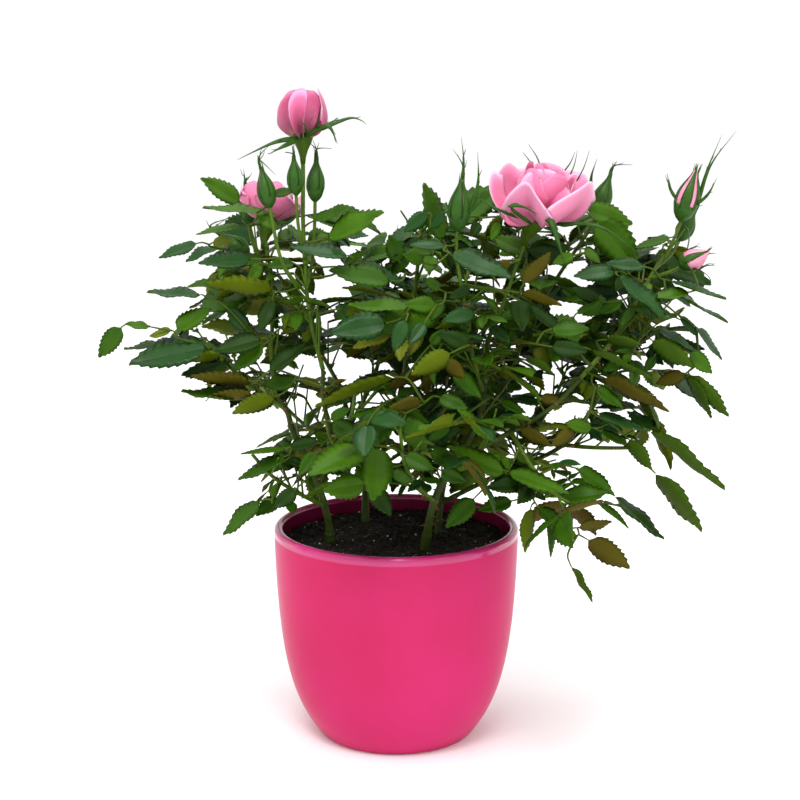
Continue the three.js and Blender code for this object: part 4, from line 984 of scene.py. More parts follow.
# The outer sprays, main stems and foremost stalks stay in view, so later leaves keep off them.
in_view = ovals(feet, tips, 1, 0.24, 1)
open_limbs = ("cane_left", "cane_right", "bough_left_inner", "bough_right_front", "bough_right_low")
open_masses = ("mass_big_rose", "mass_right_bud", "mass_left_top", "mass_right_tall")
paths_in_view = [limb["path"] for limb in limbs if limb["name"] in open_limbs]
paths_in_view += [stalk["path"] for mass in masses if mass["name"] in open_masses
                  for stalk in mass["stalks"]]
for path in paths_in_view:
    spots = np.array([place_on(path, t) for t in np.linspace(0, 1, 7)])
    in_view = np.concatenate([in_view, ovals(spots[1:], spots[:-1], 1.5, 0, 2.6)])
join_up(set_leaflets, grown[grown[:, 3] < 3, :3])
for blade in set_leaflets:
    occupy([[*place, 0, -1, 0] for place in blade_places(blade)])
    occupy([[*place_on(blade["path"], t), 0.5, -1, 1] for t in np.linspace(0.15, 1, 8)])

buds_of = [sprout(mass) for mass in masses]
leaves, twigs = [], []
for i in range(max(len(buds) for buds in buds_of)):
    for mass, buds in zip(masses, buds_of):
        leaf = grow_leaf(mass, buds[i]) if i < len(buds) else None
        if leaf:
            leaves.append(leaf)
            if "twig" in buds[i] and buds[i]["twig"] not in [twig["path"] for twig in twigs]:
                twigs.append(dict(path=buds[i]["twig"], base=0.85, mass=mass["name"]))

# Finer side shoots fill the crown within the same space: each is kept where its leaf has room.
FINE_CLEAR = dict(others=2.3, own=1.7, stems=1.9, pot=3.0)
FINE_SCALES = (1, 0.75, 0.56)
GOLDEN_SHARE = 0.618
GOLDEN_TURN = 137.5
FINE_LEAN = 48
FINE_DROOP = 46
SHORTEST_TWIG, LONGEST_TWIG = 7, 24
ONE_LEAFED_TWIG = 12
FIVE_LEAFLET_SHARE = 0.6


def fine_twigs(carrier, owner, seed, count, size, low=0.1):
    """Fine twigs along a stem, each with a leaf at its tip and, on longer ones, one half way."""
    draw = sequence(seed)
    for k in range(count):
        t = low + (0.97 - low) * ((k * GOLDEN_SHARE + draw() * 0.12) % 1)
        start, way = place_on(carrier, t), way_on(carrier, t)
        around = GOLDEN_TURN * k + seed * 31 + spread(draw, 25)
        out = departure(way, around, FINE_LEAN + spread(draw, 30))
        long = SHORTEST_TWIG + (LONGEST_TWIG - SHORTEST_TWIG) * draw()
        tip = start + out * long + UP * long * 0.12
        path = [tuple(start), tuple((start + tip) / 2 + UP * long * -0.04), tuple(tip)]
        sized = size * (1 + spread(draw, 0.22))
        luck = draw()
        grew = []
        for j, share in enumerate((1, 0.5)):
            bud = dict(start=place_on(path, share), way=way_on(path, share), around=around + 100 * j,
                       size=sized * (1 - 0.1 * j), count=5 if j == 0 and luck < FIVE_LEAFLET_SHARE else 3,
                       droop=FINE_DROOP + spread(draw, 26), roll=spread(draw, 34))
            leaf = grow_leaf(owner, bud, FINE_SCALES, FINE_CLEAR)
            if leaf:
                grew.append(leaf)
            if long < ONE_LEAFED_TWIG:
                break
        if grew:
            leaves.extend(grew)
            twigs.append(dict(path=path, base=0.62, mass=owner["name"]))


for i, mass in enumerate(masses):
    fine_twigs(mass["path"], mass, 300 + i, 9, mass["size"] * 0.8)
for i, limb in enumerate(limbs):
    fine_twigs(limb["path"], limb, 400 + i, 7, 25, 0.3)
for i, mass in enumerate(masses):
    fine_twigs(mass["path"], mass, 500 + i, 9, mass["size"] * 0.62)

STEM_STEP = 1.6
STEM_SIDES = 10
TWIG_SIDES = 7
YOUNG_PRICKLE_GAP = 9


def stem_tube(path, base, tip, sides):
    """A round stem along a path, with its radius at the base and the tip."""
    shares = np.linspace(0, 1, max(4, int(length_of(path) / STEM_STEP)))
    return tube([place_on(path, t) for t in shares], [base + (tip - base) * t for t in shares], sides)


stems = Batch()
draw = sequence(9)
for mass in masses:
    stems.add(*stem_tube(mass["path"], SHOOT_BASE, SHOOT_TIP, STEM_SIDES), 0)
    for _ in range(int(length_of(mass["path"]) / YOUNG_PRICKLE_GAP)):
        t = 0.04 + 0.75 * draw()
        way = way_on(mass["path"], t)
        out = sideways(way, draw() * 2 * math.pi)
        spot = place_on(mass["path"], t) + out
        stems.add(*prickle(spot, way, out, 1.6 + 1.6 * draw()), 1)
    for stalk in mass.get("stalks", []):
        thick = 1.05 if stalk["head"] == "bloom" else 0.85
        stems.add(*stem_tube(stalk["path"], thick, thick * 1.05, STEM_SIDES), 0)
for twig in twigs:
    stems.add(*stem_tube(twig["path"], twig["base"], twig["base"] * 0.75, TWIG_SIDES), 0)
shoot_green = surface("shoot_green", "#36500A", "#547014", 0.42, grain=220, share=0.6, bump=0.15,
                      bump_grain=900, coat=0.05, shine=0.2)
young_thorn = surface("young_thorn", "#7D3A2A", "#8F6A34", 0.4, grain=500)
mass_nodes = [mass["name"] for mass in masses]
stems.make("shoots_and_twigs", [shoot_green, young_thorn], "bark", mass_nodes)

# ---------------------------------------------------------------- leaves
# Rose leaves of three or five toothed leaflets, glossy blue-green above and dull olive below.
# Each leaflet is a thin folded blade, quilted between its veins, on a slim stalk.

TEETH = 9
# A leaflet's outline: shares of its length, and its width there as shares of the widest.
OUTLINE_AT = (0, 0.04, 0.12, 0.25, 0.4, 0.55, 0.7, 0.82, 0.92, 0.97, 1)
OUTLINE_WIDTH = (0, 0.36, 0.72, 0.95, 1.0, 0.93, 0.74, 0.5, 0.24, 0.1, 0)
# Each tooth points out and on; each notch between two lies in and back.
TOOTH_ON, NOTCH_BACK = 0.022, -0.012
TOOTH_OUT, NOTCH_IN = 1.07, 0.93
QUILT_HIGH, QUILT_LOW, MIDRIB_SUNK = 0.014, -0.012, 0.012
LEAF_THICKNESS = 0.24


def blade_grid():
    """Stations along a leaflet and its five lines across, with the numbers of its faces."""
    stations = 2 * TEETH + 1
    outline = np.interp(np.linspace(0, 1, stations), OUTLINE_AT, OUTLINE_WIDTH)
    spots, index = [], {}
    for j in range(stations):
        u = j / (stations - 1)
        ends = j in (0, stations - 1)
        tooth = j % 2 == 1
        for line in ((0,) if ends else (-2, -1, 0, 1, 2)):
            v = line / 2
            edge = abs(line) == 2
            reach = u + (TOOTH_ON if tooth else NOTCH_BACK) * edge
            wide = outline[j] * v * ((TOOTH_OUT if tooth else NOTCH_IN) if edge else 1)
            quilt = (QUILT_HIGH if tooth else QUILT_LOW) * (abs(line) == 1)
            quilt -= MIDRIB_SUNK if line == 0 else 0
            index[j, line, 0] = len(spots)
            spots.append((reach, wide, quilt, abs(v), 0))
            if not edge and not ends:
                index[j, line, 1] = len(spots)
                spots.append((reach, wide, quilt, abs(v), 1))
        if ends:
            for line in (-2, -1, 0, 1, 2):
                index[j, line, 0] = index[j, line, 1] = len(spots) - 1
        else:
            for line in (-2, 2):
                index[j, line, 1] = index[j, line, 0]
    faces, under = [], []
    for j in range(stations - 1):
        for line in (-2, -1, 0, 1):
            ring = ((j, line), (j + 1, line), (j + 1, line + 1), (j, line + 1))
            top = [index[*spot, 0] for spot in ring]
            low = [index[*spot, 1] for spot in (ring[0], *ring[:0:-1])]
            faces += [tuple(dict.fromkeys(top)), tuple(dict.fromkeys(low))]
            under += [0, 1]
    return np.array(spots), faces, np.array(under)


GRID, GRID_FACES, GRID_UNDER = blade_grid()
MIDRIB = (GRID[:, 3] == 0) & (GRID[:, 4] == 0)


def blade_points(blade, draw, free=1.0):
    """A leaflet's points: turned, folded on its midrib, arched and waved, less so when not free."""
    # How unevenly the leaflet sits: its tilt and rise, fold, arch, twist and wavy edge.
    tilt, lift_off = spread(draw, 0.5 * free), spread(draw, 0.22 * free)
    along = unit(blade["along"] + blade["normal"] * lift_off)
    side = unit(blade["side"] * math.cos(tilt) + blade["normal"] * math.sin(tilt))
    side = unit(side - along * side.dot(along))
    normal = np.cross(along, side)
    long, wide = blade["length"] * 1.02, blade["length"] * (0.56 + spread(draw, 0.05))
    fold = (LEAFLET_FOLD + spread(draw, 0.16)) * (0.45 + 0.55 * free)
    arch, twist = 0.12 + spread(draw, 0.08 * free), spread(draw, 0.35 * free)
    wave, phase = 0.03 * draw(), draw() * 6
    # u runs along the blade, y and v across it; the foot stands a little off its stalk.
    u, y, quilt, v, below = GRID.T
    x = u * long * 0.97 + 0.03 * long
    across = y * wide / 2
    lift = np.abs(across) * fold - long * (0.5 * LEAFLET_DROP * u + (arch - 0.05) * u ** 2)
    lift = lift - (1 - free) * (0.4 * fold * wide + 0.05 * long) * u * (1 - u) * 2
    lift = lift + quilt * long + wave * long * v * np.sin(u * 11 + phase)
    lift = lift - LEAF_THICKNESS * below * (1 - v) ** 0.3
    # Its tip bends to one side and twists.
    bend = spread(draw, 0.1) * long * u ** 2
    turn = twist * u
    out = across * np.cos(turn) - lift * np.sin(turn) * 0.5
    lift = lift + across * np.sin(turn)
    return blade["shown"] + np.outer(x, along) + np.outer(out + bend, side) + np.outer(lift, normal)


def leaf_arch(leaf, share):
    """The spot at a share of a leaf's stalk, which arches a little upwards."""
    return leaf["start"] + leaf["face"]["along"] * leaf["reach"] * share \
        + leaf["face"]["normal"] * leaf["reach"] * 0.14 * share * (1 - share)


def stipules(leaf):
    """Two narrow wings fused to the foot of the leaf's stalk."""
    face, points, faces = leaf["face"], [], []
    for hand in (-1, 1):
        first = len(points)
        for share, wide in ((0.0, 0.5), (0.07, 1.5), (0.15, 1.6), (0.2, 2.4)):
            spot = leaf_arch(leaf, share)
            points += [spot + face["normal"] * 0.25, spot + face["side"] * hand * wide + face["normal"] * 0.7,
                       spot - face["normal"] * 0.15]
        for j in range(3):
            a = first + j * 3
            quads = [(a, a + 1, a + 4, a + 3), (a + 1, a + 2, a + 5, a + 4), (a + 2, a, a + 3, a + 5)]
            faces += quads if hand < 0 else [tuple(reversed(q)) for q in quads]
        for a, flip in ((first, hand > 0), (first + 9, hand < 0)):
            faces.append((a, a + 1, a + 2) if flip else (a, a + 2, a + 1))
    return points, faces


def leaf_face(name, colour, other, rough, coat, shine=0.14):
    return surface(name, colour, other, rough, grain=90, bump=0.12, bump_grain=1500, coat=coat,
                   coat_rough=0.3, shine=shine)


leaf_tops = [
    leaf_face("leaf_deep", "#172F04", "#203D06", 0.5, 0.03),
    leaf_face("leaf_blue_green", "#153A0E", "#204A14", 0.44, 0.08, 0.2),
    leaf_face("leaf_mid_green", "#284A04", "#345A06", 0.48, 0.03),
    leaf_face("leaf_fresh", "#325804", "#426808", 0.48, 0.03),
    leaf_face("leaf_young", "#5E6C10", "#70781E", 0.48, 0.03)]
leaf_unders = [
    leaf_face("under_olive", "#4C5C04", "#5A6A08", 0.62, 0.0, 0.1),
    leaf_face("under_green", "#345008", "#425E12", 0.62, 0.0, 0.1),
    leaf_face("under_bronze", "#464006", "#524C0E", 0.62, 0.0, 0.1)]
FIRST_UNDER = len(leaf_tops)
# Running shares of the leaves that have each colour, above and below.
TOP_SHARES = (0.26, 0.46, 0.74, 0.94)
UNDER_SHARES = (0.45, 0.88)
OWN_COLOUR = 0.8
BACK_FROM, LEFT_TO, RIGHT_FROM = 28, -20, 60


def region(spot):
    """The joined piece a leaf belongs to, by the side of the crown its last leaflet hangs on."""
    if spot[1] > BACK_FROM:
        return "back"
    return "left" if spot[0] < LEFT_TO else "right" if spot[0] > RIGHT_FROM else "front"


batches = {name: Batch() for name in ("left", "front", "right", "back")}
stalks = Batch()
draw = sequence(4711)
for leaf in leaves:
    batch = batches[region(leaf["stalk"][-1])]
    choice, under_choice = draw(), draw()
    top = sum(choice > share for share in TOP_SHARES)
    under = FIRST_UNDER + sum(under_choice > share for share in UNDER_SHARES)
    spots = [leaf_arch(leaf, share) for share in np.linspace(0, 1, 9)]
    stalks.add(*tube(spots, np.linspace(0.62, 0.4, 9), 6), 0)
    stalks.add(*stipules(leaf), 0)
    for blade in leaf["blades"]:
        root = leaf_arch(leaf, blade["share"])
        blade["shown"] = root
        step = 0 if draw() < OWN_COLOUR else 1 if draw() < 0.5 else -1
        own_top = min(FIRST_UNDER - 1, max(0, top + step))
        batch.add(blade_points(blade, draw), GRID_FACES, np.where(GRID_UNDER == 1, under, own_top))
        foot = root + blade["along"] * blade["length"] * 0.05
        stalks.add(*tube([root, foot], [0.42, 0.36], 5), 0)
for blade in set_leaflets:
    batch = batches[region(blade["root"])]
    blade["shown"], tone = blade["root"], blade["tone"]
    top, under = (tone, FIRST_UNDER + (draw() < 0.4)) if tone < FIRST_UNDER else (int(draw() * 3), tone)
    batch.add(blade_points(blade, draw, 0.3), GRID_FACES, np.where(GRID_UNDER == 1, under, top))
    spots = [place_on(blade["path"], t) for t in np.linspace(0, 1, 9)] + [blade["root"] + blade["along"]]
    stalks.add(*tube(spots, np.linspace(blade["bearing"], 0.36, 10), 6), 0)
for name, batch in batches.items():
    piece = batch.make("leaves_" + name, leaf_tops + leaf_unders, "foliage", mass_nodes)
    # The upper side is creased along its midrib.
    rib = np.tile(MIDRIB, len(piece.data.vertices) // len(GRID))
    ends = np.zeros(len(piece.data.edges) * 2, int)
    piece.data.edges.foreach_get("vertices", ends)
    crease = piece.data.attributes.new("sharp_edge", "BOOLEAN", "EDGE")
    crease.data.foreach_set("value", rib[ends].reshape(-1, 2).all(1))
stalk_green = surface("leaf_stalk", "#33500C", "#4C5A12", 0.45, grain=200, bump=0.1, bump_grain=900,
                      shine=0.2)
stalks.make("leaf_stalks", [stalk_green], "foliage", mass_nodes)

# ---------------------------------------------------------------- buds, hips and sepals
# Every flower stands on a smooth green hip. Five long sepals with thread-like side lobes wrap
# the bud, part as the pink petals swell, and bend back under an open rose.

BLADE_THICKNESS = 0.3
# Bent-back sepals turn their flat side up and to the front.
SEPAL_FACING = (0, -0.74, 0.67)


def head_frame(stalk):
    """The top of a flower's stalk, the way it points, and two directions square to it."""
    place, axis = place_on(stalk["path"], 1), way_on(stalk["path"], 1)
    side = unit(np.cross(UP, axis)) if abs(axis[2]) < 0.9999 else np.array([1.0, 0, 0])
    return place, axis, side, np.cross(axis, side)


def outward(side, front, turn):
    """The direction at a turn round a flower's axis."""
    return side * math.cos(turn) + front * math.sin(turn)


def shell(grid):
    """A thin closed blade through a grid of points, sharp at its edge."""
    grid = np.asarray(grid, float)
    rows, lines = grid.shape[:2]
    normal = np.cross(np.gradient(grid, axis=0), np.gradient(grid, axis=1))
    normal /= np.linalg.norm(normal, axis=2)[..., None] + 1e-9
    inner = np.zeros((rows, lines), bool)
    inner[1:-1, 1:-1] = True
    top = grid + np.where(inner[..., None], normal * BLADE_THICKNESS / 2, 0)
    low = (grid - normal * BLADE_THICKNESS / 2)[inner]
    numbers = np.arange(rows * lines).reshape(rows, lines)
    under = numbers.copy()
    under[inner] = rows * lines + np.arange(len(low))
    faces = []
    for i in range(rows - 1):
        for k in range(lines - 1):
            for sheet, ring in ((numbers, (0, 1, 2, 3)), (under, (0, 3, 2, 1))):
                corners = (sheet[i, k], sheet[i + 1, k], sheet[i + 1, k + 1], sheet[i, k + 1])
                faces.append(tuple(int(corners[n]) for n in ring))
    return np.concatenate([top.reshape(-1, 3), low]), faces


def turned_body(place, axis, side, front, profile, sides=14):
    """A closed round body about a flower's axis, from a profile of (radius, height)."""
    points = [place + axis * height + outward(side, front, 2 * math.pi * k / sides) * radius
              for radius, height in profile for k in range(sides)]
    return points, closed_rings(len(profile), sides)


def sepal(batch, head, turn, track, widths, sway):
    """One sepal along a track of (out, up) points, hollow towards the flower."""
    place, axis, side, front = head
    rows, lines = 15, 5
    grid = np.zeros((rows, lines, 3))
    track = [(out, up, 0) for out, up in track]
    for i in range(rows):
        t = i / (rows - 1)
        out, up, _ = place_on(track, t)
        wide = np.interp(t, np.linspace(0, 1, len(widths)), widths)
        for k in range(lines):
            v = k / (lines - 1) * 2 - 1
            angle = turn + sway * t * t - v * wide / 2 / max(abs(out), wide * 0.32)
            grid[i, k] = place + axis * up + outward(side, front, angle) * out
    batch.add(*shell(grid), 0)


def hair(batch, spots, thick):
    """A thread that thins towards its tip."""
    path = [place_on(spots, t) for t in np.linspace(0, 1, 9)]
    batch.add(*tube(path, np.linspace(thick, 0.09, 9), 6), 0)


def ribbon(batch, spots, wide, draw, lobes):
    """A bent-back sepal along points in space, keeled and drawn out to a thread."""
    rows, lines = 17, 5
    grid = np.zeros((rows, lines, 3))
    for i in range(rows):
        t = i / (rows - 1)
        way = way_on(spots, t)
        across = unit(np.cross(way, SEPAL_FACING) + (0.02, 0, 0))
        keel = np.cross(across, way)
        half = wide / 2 * np.interp(t, [0, 0.15, 0.4, 0.65, 0.85, 1], [0.7, 1, 0.85, 0.42, 0.16, 0.05])
        for k in range(lines):
            v = k / (lines - 1) * 2 - 1
            grid[i, k] = place_on(spots, t) + across * v * half - keel * abs(v) * half * 0.45
    batch.add(*shell(grid), 0)
    for n in range(lobes):
        t = 0.4 + 0.2 * n
        way, spot = way_on(spots, t), place_on(spots, t)
        out = unit(np.cross(way, UP)) * (1 if n % 2 else -1)
        long = 3 + 2.5 * draw()
        hair(batch, [spot, spot + way * long * 0.5 + out * long * 0.35,
                     spot + way * long + out * long * 0.5 + UP * spread(draw, 1.2)], 0.3)


# The thread-like tips that gather above a bud, by its mass and its number there.
spires = {
    ("mass_left_top", 1): [(-42, -9, 317), (-32, -14, 313)],
    ("mass_left_top", 2): [(-62, -28, 316), (-59, -34, 301)],
    ("mass_left_top", 3): [(-52, -26, 317), (-55, -30, 312)],
    ("mass_left_outer", 1): [(-85, 2, 278), (-77, 0, 279)],
    ("mass_left_back", 0): [(-82, 44, 299), (-79, 48, 295)],
    ("mass_centre_back", 0): [(1, 50, 266)],
    ("mass_right_bud", 0): [(32, -34, 320), (28, -36, 314), (40, -38, 313), (44, -44, 296)],
    ("mass_right_upper", 0): [(115, 16, 305), (123, 14, 303), (105, 20, 306)],
    ("mass_right_tall", 0): [(170, -18, 322), (164, -12, 320), (136, -18, 301), (160, -24, 299)],
    ("mass_right_tall", 1): [(153, -6, 292), (156, -10, 284)],
    ("mass_right_tall", 2): [(160, -30, 256), (152, -26, 265)],
}
# How much pink shows between the sepals: 0 none, 1 a swollen bud about to open.
OPENING = 0.7
showing = {("mass_right_tall", 0): 0.7, ("mass_right_tall", 2): 1.0, ("mass_right_bud", 0): 0.2,
           ("mass_left_top", 1): 0.15, ("mass_left_top", 2): 0.15, ("mass_left_outer", 1): 0.2}

green_heads, pink_buds = Batch(), Batch()
draw = sequence(2024)
for mass in masses:
    for number, stalk in enumerate(mass.get("stalks", [])):
        if stalk["head"] != "bud":
            continue
        place, axis, side, front = head = head_frame(stalk)
        r, long = stalk["width"] / 2, stalk["length"]
        pink = showing.get((mass["name"], number), 0)
        # The bud's radius, and its height as a share of its length, from the stalk to the tip.
        form = [(0.95, -0.42), (0.5 * r, -0.34), (0.78 * r, -0.22), (0.93 * r, -0.08), (0.98 * r, 0.04),
                (1.0 * r, 0.18), (0.94 * r, 0.34), (0.76 * r, 0.52), (0.5 * r, 0.7), (0.3 * r, 0.86),
                (0.12 * r, 1.0)]
        hip = [(radius, height * long) for radius, height in form[:5]] + [(0.7 * r, 0.08 * long)]
        green_heads.add(*turned_body(*head, hip), 0)
        plump = 0.9 + 0.14 * pink
        inner = [(0.5 * r, -0.04 * long)] + [(radius * plump, height * long) for radius, height in form[4:]]
        pink_buds.add(*turned_body(*head, inner), 0)
        wide = (1.32 - 0.64 * pink) * r
        for k in range(5):
            turn = math.radians(20 + 72 * k) + spread(draw, 0.06)
            gape = pink * (0.5 + draw())
            if pink > OPENING and k in (1, 3):
                track = [(0.9 * r, -0.03 * long), (1.15 * r, 0.22 * long), (1.9 * r, 0.5 * long),
                         (2.6 * r, 0.62 * long), (3.3 * r, 0.55 * long)]
            else:
                track = [(0.7 * r, -0.2 * long), (0.99 * r, 0.0), (1.03 * r, 0.17 * long),
                         (0.99 * r, 0.34 * long), (0.8 * r, 0.53 * long), (0.52 * r, 0.72 * long),
                         (0.26 * r, 0.92 * long),
                         (0.14 * r + 0.2 + 1.6 * gape, (1.12 + 0.12 * draw()) * long)]
            widths = [0.7 * wide, wide, 1.1 * wide, wide, 0.78 * wide, 0.5 * wide, 0.26 * wide, 0.06 * wide]
            sepal(green_heads, head, turn, track, widths, spread(draw, 0.2))
        crown_of_bud = place + axis * long * 0.88
        for n, tip in enumerate(spires.get((mass["name"], number), [])):
            tip = np.array(tip, float)
            if n < 2 and pink < OPENING:
                start = crown_of_bud
            else:
                start = place + axis * long * 0.15 + unit(tip - place - axis * axis.dot(tip - place)) * r
            bend = start + (axis if n < 2 else unit(tip - place)) * np.linalg.norm(tip - start) * 0.5
            ribbon(green_heads, [tuple(start), tuple(bend), tuple(tip)], 1.5 if n < 2 else 2.1, draw, 2)

# Sepals bent back under each open rose: width at the foot and the points they run through.
bent_sepals = {
    "mass_left_top": [
        (3.6, [(-47, -16, 319), (-60, -22, 317), (-79, -24, 308)]),
        (3.4, [(-48, -16, 319), (-56, -26, 315), (-63, -28, 311)]),
        (4.0, [(-46, -16, 320), (-34, -24, 325), (-29, -24, 316)]),
        (2.6, [(-42, -10, 321), (-24, -8, 328), (-16, -8, 326)]),
        (2.4, [(-43, -5, 321), (-34, 6, 325), (-30, 9, 327)]),
        (1.4, [(-44, -18, 320), (-45, -25.5, 325), (-49, -26, 330)]),
        (1.4, [(-41, -17, 321), (-38, -24.5, 328), (-37, -23, 335)]),
    ],
    "mass_big_rose": [
        (3.2, [(70, -17, 277), (51, -42, 285), (34, -46, 295)]),
        (4.4, [(73, -24, 278), (76, -43, 280), (80, -46, 268), (84, -44, 256)]),
        (2.8, [(74, -20, 276), (99, -40, 277), (119, -40, 264)]),
        (3.8, [(68, -30, 277), (56, -44, 287), (62, -47, 287), (69, -46, 283)]),
        (2.8, [(76, -12, 275), (96, 14, 274), (110, 22, 281)]),
    ],
    "mass_left_outer": [
        (3.0, [(-67, 8, 274), (-75, -8, 275), (-81, -10, 280)]),
        (3.0, [(-65, 8, 274), (-54, -6, 276), (-49, -8, 282)]),
        (2.8, [(-67, 12, 273), (-71, 24, 277), (-73, 30, 280)]),
        (2.8, [(-64, 12, 273), (-54, 22, 275), (-48, 26, 280)]),
    ],
    "mass_right_back": [
        (3.0, [(75, 50, 277), (66, 36, 279), (59, 30, 282)]),
        (3.0, [(78, 50, 277), (88, 38, 278), (96, 32, 281)]),
        (2.8, [(74, 55, 277), (66, 66, 278), (60, 74, 282)]),
        (2.8, [(78, 55, 277), (88, 66, 278), (92, 74, 283)]),
        (2.6, [(72, 52, 277), (58, 52, 275), (50, 52, 278)]),
    ],
}
# The hip below an open rose swells to this radius, plus a share of the rose's width.
HIP_BASE, HIP_SHARE = 3.8, 0.06
for mass in masses:
    for stalk in mass.get("stalks", []):
        if stalk["head"] == "bloom":
            wide = HIP_BASE + HIP_SHARE * stalk["width"]
            cup = [(1.2, -16), (1.6, -12.5), (0.48 * wide, -9), (0.8 * wide, -5.5), (0.97 * wide, -2.6),
                   (wide, -1), (0.86 * wide, 0.4)]
            green_heads.add(*turned_body(*head_frame(stalk), cup, 18), 1)
            for wide, spots in bent_sepals[mass["name"]]:
                ribbon(green_heads, spots, wide, draw, 3 if wide > 2 else 0)
# Tips of sepals that stand up behind the largest rose: foot and tip.
standing_tips = [((71, 6, 300), (65, 4, 310)), ((75, 8, 301), (68, 8, 314)), ((85, 8, 298), (92, 6, 310)),
                 ((91, 4, 292), (99, 2, 311)), ((88, 6, 295), (93, 4, 311))]
for foot, tip in standing_tips:
    hair(green_heads, [foot, tuple((np.array(foot) + tip) / 2 + (1.0, 0, 0)), tip], 0.5)
head_green = surface("sepal_green", "#1E4210", "#365E16", 0.5, grain=260, share=0.7, bump=0.15,
                     bump_grain=1200, coat=0.05, shine=0.2)
bud_pink = surface("bud_petal", "#D9809E", "#EBA0BC", 0.5, grain=200, skin=0.1)
bud_nodes = [mass["name"] for mass in masses if "stalks" in mass]
hip_green = surface("hip_green", "#33500A", "#46600A", 0.5, grain=200, share=0.6, bump=0.15,
                    bump_grain=1200, shine=0.2)
green_heads.make("hips_and_sepals", [head_green, hip_green], "foliage", bud_nodes)
pink_buds.make("bud_petals", [bud_pink], "foliage", bud_nodes)

# ---------------------------------------------------------------- the open roses
# Cupped pink roses. Broad soft petals overlap round a tight heart, paler at their rims, and the outer ones
# roll back at both corners, which leaves each with a point. Their pink deepens towards each petal's foot and
# on the inner and shaded petals: partly the petals' own colour, partly painted shade.


def petal_finish(name, stops):
    """Petal colour from the foot to the rim, read from the tint stored on each point."""
    material = surface(name, "#EE85B5", "#F09CC4", 0.6, grain=240, bump=0.1, bump_grain=1300,
                       sheen=0.15, skin=0.12)
    nodes, links = material.node_tree.nodes, material.node_tree.links
    tint = nodes.new("ShaderNodeAttribute")
    tint.attribute_name = "tint"
    ramp = nodes.new("ShaderNodeValToRGB")
    for element, (position, colour) in zip(ramp.color_ramp.elements, (stops[0], stops[-1])):
        element.position, element.color = position, paint(colour)
    for position, colour in stops[1:-1]:
        ramp.color_ramp.elements.new(position).color = paint(colour)
    links.new(tint.outputs["Fac"], ramp.inputs["Fac"])
    links.new(ramp.outputs["Color"], nodes["Principled BSDF"].inputs["Base Color"])
    return material


def smooth(low, high, x):
    """Rises softly from 0 at low to 1 at high."""
    t = np.clip((x - low) / (high - low), 0, 1)
    return t * t * (3 - 2 * t)


# How far out a petal stands along its length, cupped open and shut over the heart.
SPAN = np.array([0, 0.15, 0.35, 0.6, 0.82, 1])
CUPPED, SHUT = np.array([0, 0.42, 0.74, 0.94, 1.0, 1.0]), np.array([0.15, 0.66, 0.96, 1.0, 0.74, 0.34])


def petal(head, turn, foot, rim, tall, half, roll, point, close, draw):
    """One petal as a grid of points, with its tint from foot 0 to rim 1."""
    place, axis, side, front = head
    rows, lines = 17, 15
    u = np.linspace(0, 1, rows)[:, None]
    v = np.linspace(-1, 1, lines)[None, :]
    # How wide the petal is along its length, and how it leans to one side.
    lop = spread(draw, 0.12)
    broad = np.interp(u[:, 0], [0, 0.12, 0.35, 0.62, 0.85, 1], [0.34, 0.6, 0.92, 1.0, 0.9, 0.7])[:, None]
    angle = turn + v * half * broad + lop * u
    out = foot + (rim - foot) * np.interp(u[:, 0], SPAN, CUPPED + (SHUT - CUPPED) * close)[:, None] + 0 * v
    up = tall * (0.12 * u + 0.88 * u ** (1.25 - 0.25 * close)) * (1 - 0.13 * u * v ** 2)
    up = up + point * smooth(0.7, 1, u) * (1 - np.abs(v))
    # The rim's two corners roll out and down, and draw in towards its point.
    corner = smooth(0.5, 1.0, u * (0.35 + 0.65 * np.abs(v)))
    out = out + roll * corner * (0.75 + 0.25 * np.abs(v)) + 0.03 * rim * np.sin(v * 5 + draw() * 6) * u
    out = out + 0.6 * smooth(0.9, 1, u)
    up = up - roll * 1.15 * corner ** 1.6
    angle = angle - v * half * 0.28 * corner ** 1.2
    grid = (place + axis * up[..., None] + side * (np.cos(angle) * out)[..., None]
            + front * (np.sin(angle) * out)[..., None])
    return grid, np.clip(0.7 * u + 0.35 * corner + 0.08 * np.abs(v) + 0 * v, 0, 1)


def draped_petal(foot, belly, rim, heart, curled):
    """A petal from its foot, out round its belly, to a rim through given points, rolled outwards."""
    rows, lines = 19, 17
    edge = np.array([place_on(rim, t) for t in np.linspace(0, 1, lines)])
    # The petal narrows below its belly and is narrowest at its foot.
    middle = edge.mean(0)
    lower, swell = np.array(foot) + (edge - middle) * 0.12, np.array(belly) + (edge - middle) * 0.55
    u = np.linspace(0, 1, rows)[:, None, None]
    grid = (1 - u) ** 2 * lower + 2 * u * (1 - u) * swell + u * u * edge
    away = edge - np.array(heart)
    away[:, 2] = 0
    away /= np.linalg.norm(away, axis=1)[:, None]
    curl = smooth(0.84, 1.0, u)
    grid = grid + (away * 1.5 * curl - UP * 1.3 * curl ** 2) * curled
    v = np.linspace(-1, 1, lines)[None, :]
    return grid, np.clip(0.72 * u[..., 0] + 0.28 * smooth(0.8, 1, u[..., 0]) + 0.1 * v ** 2 * u[..., 0], 0, 1)


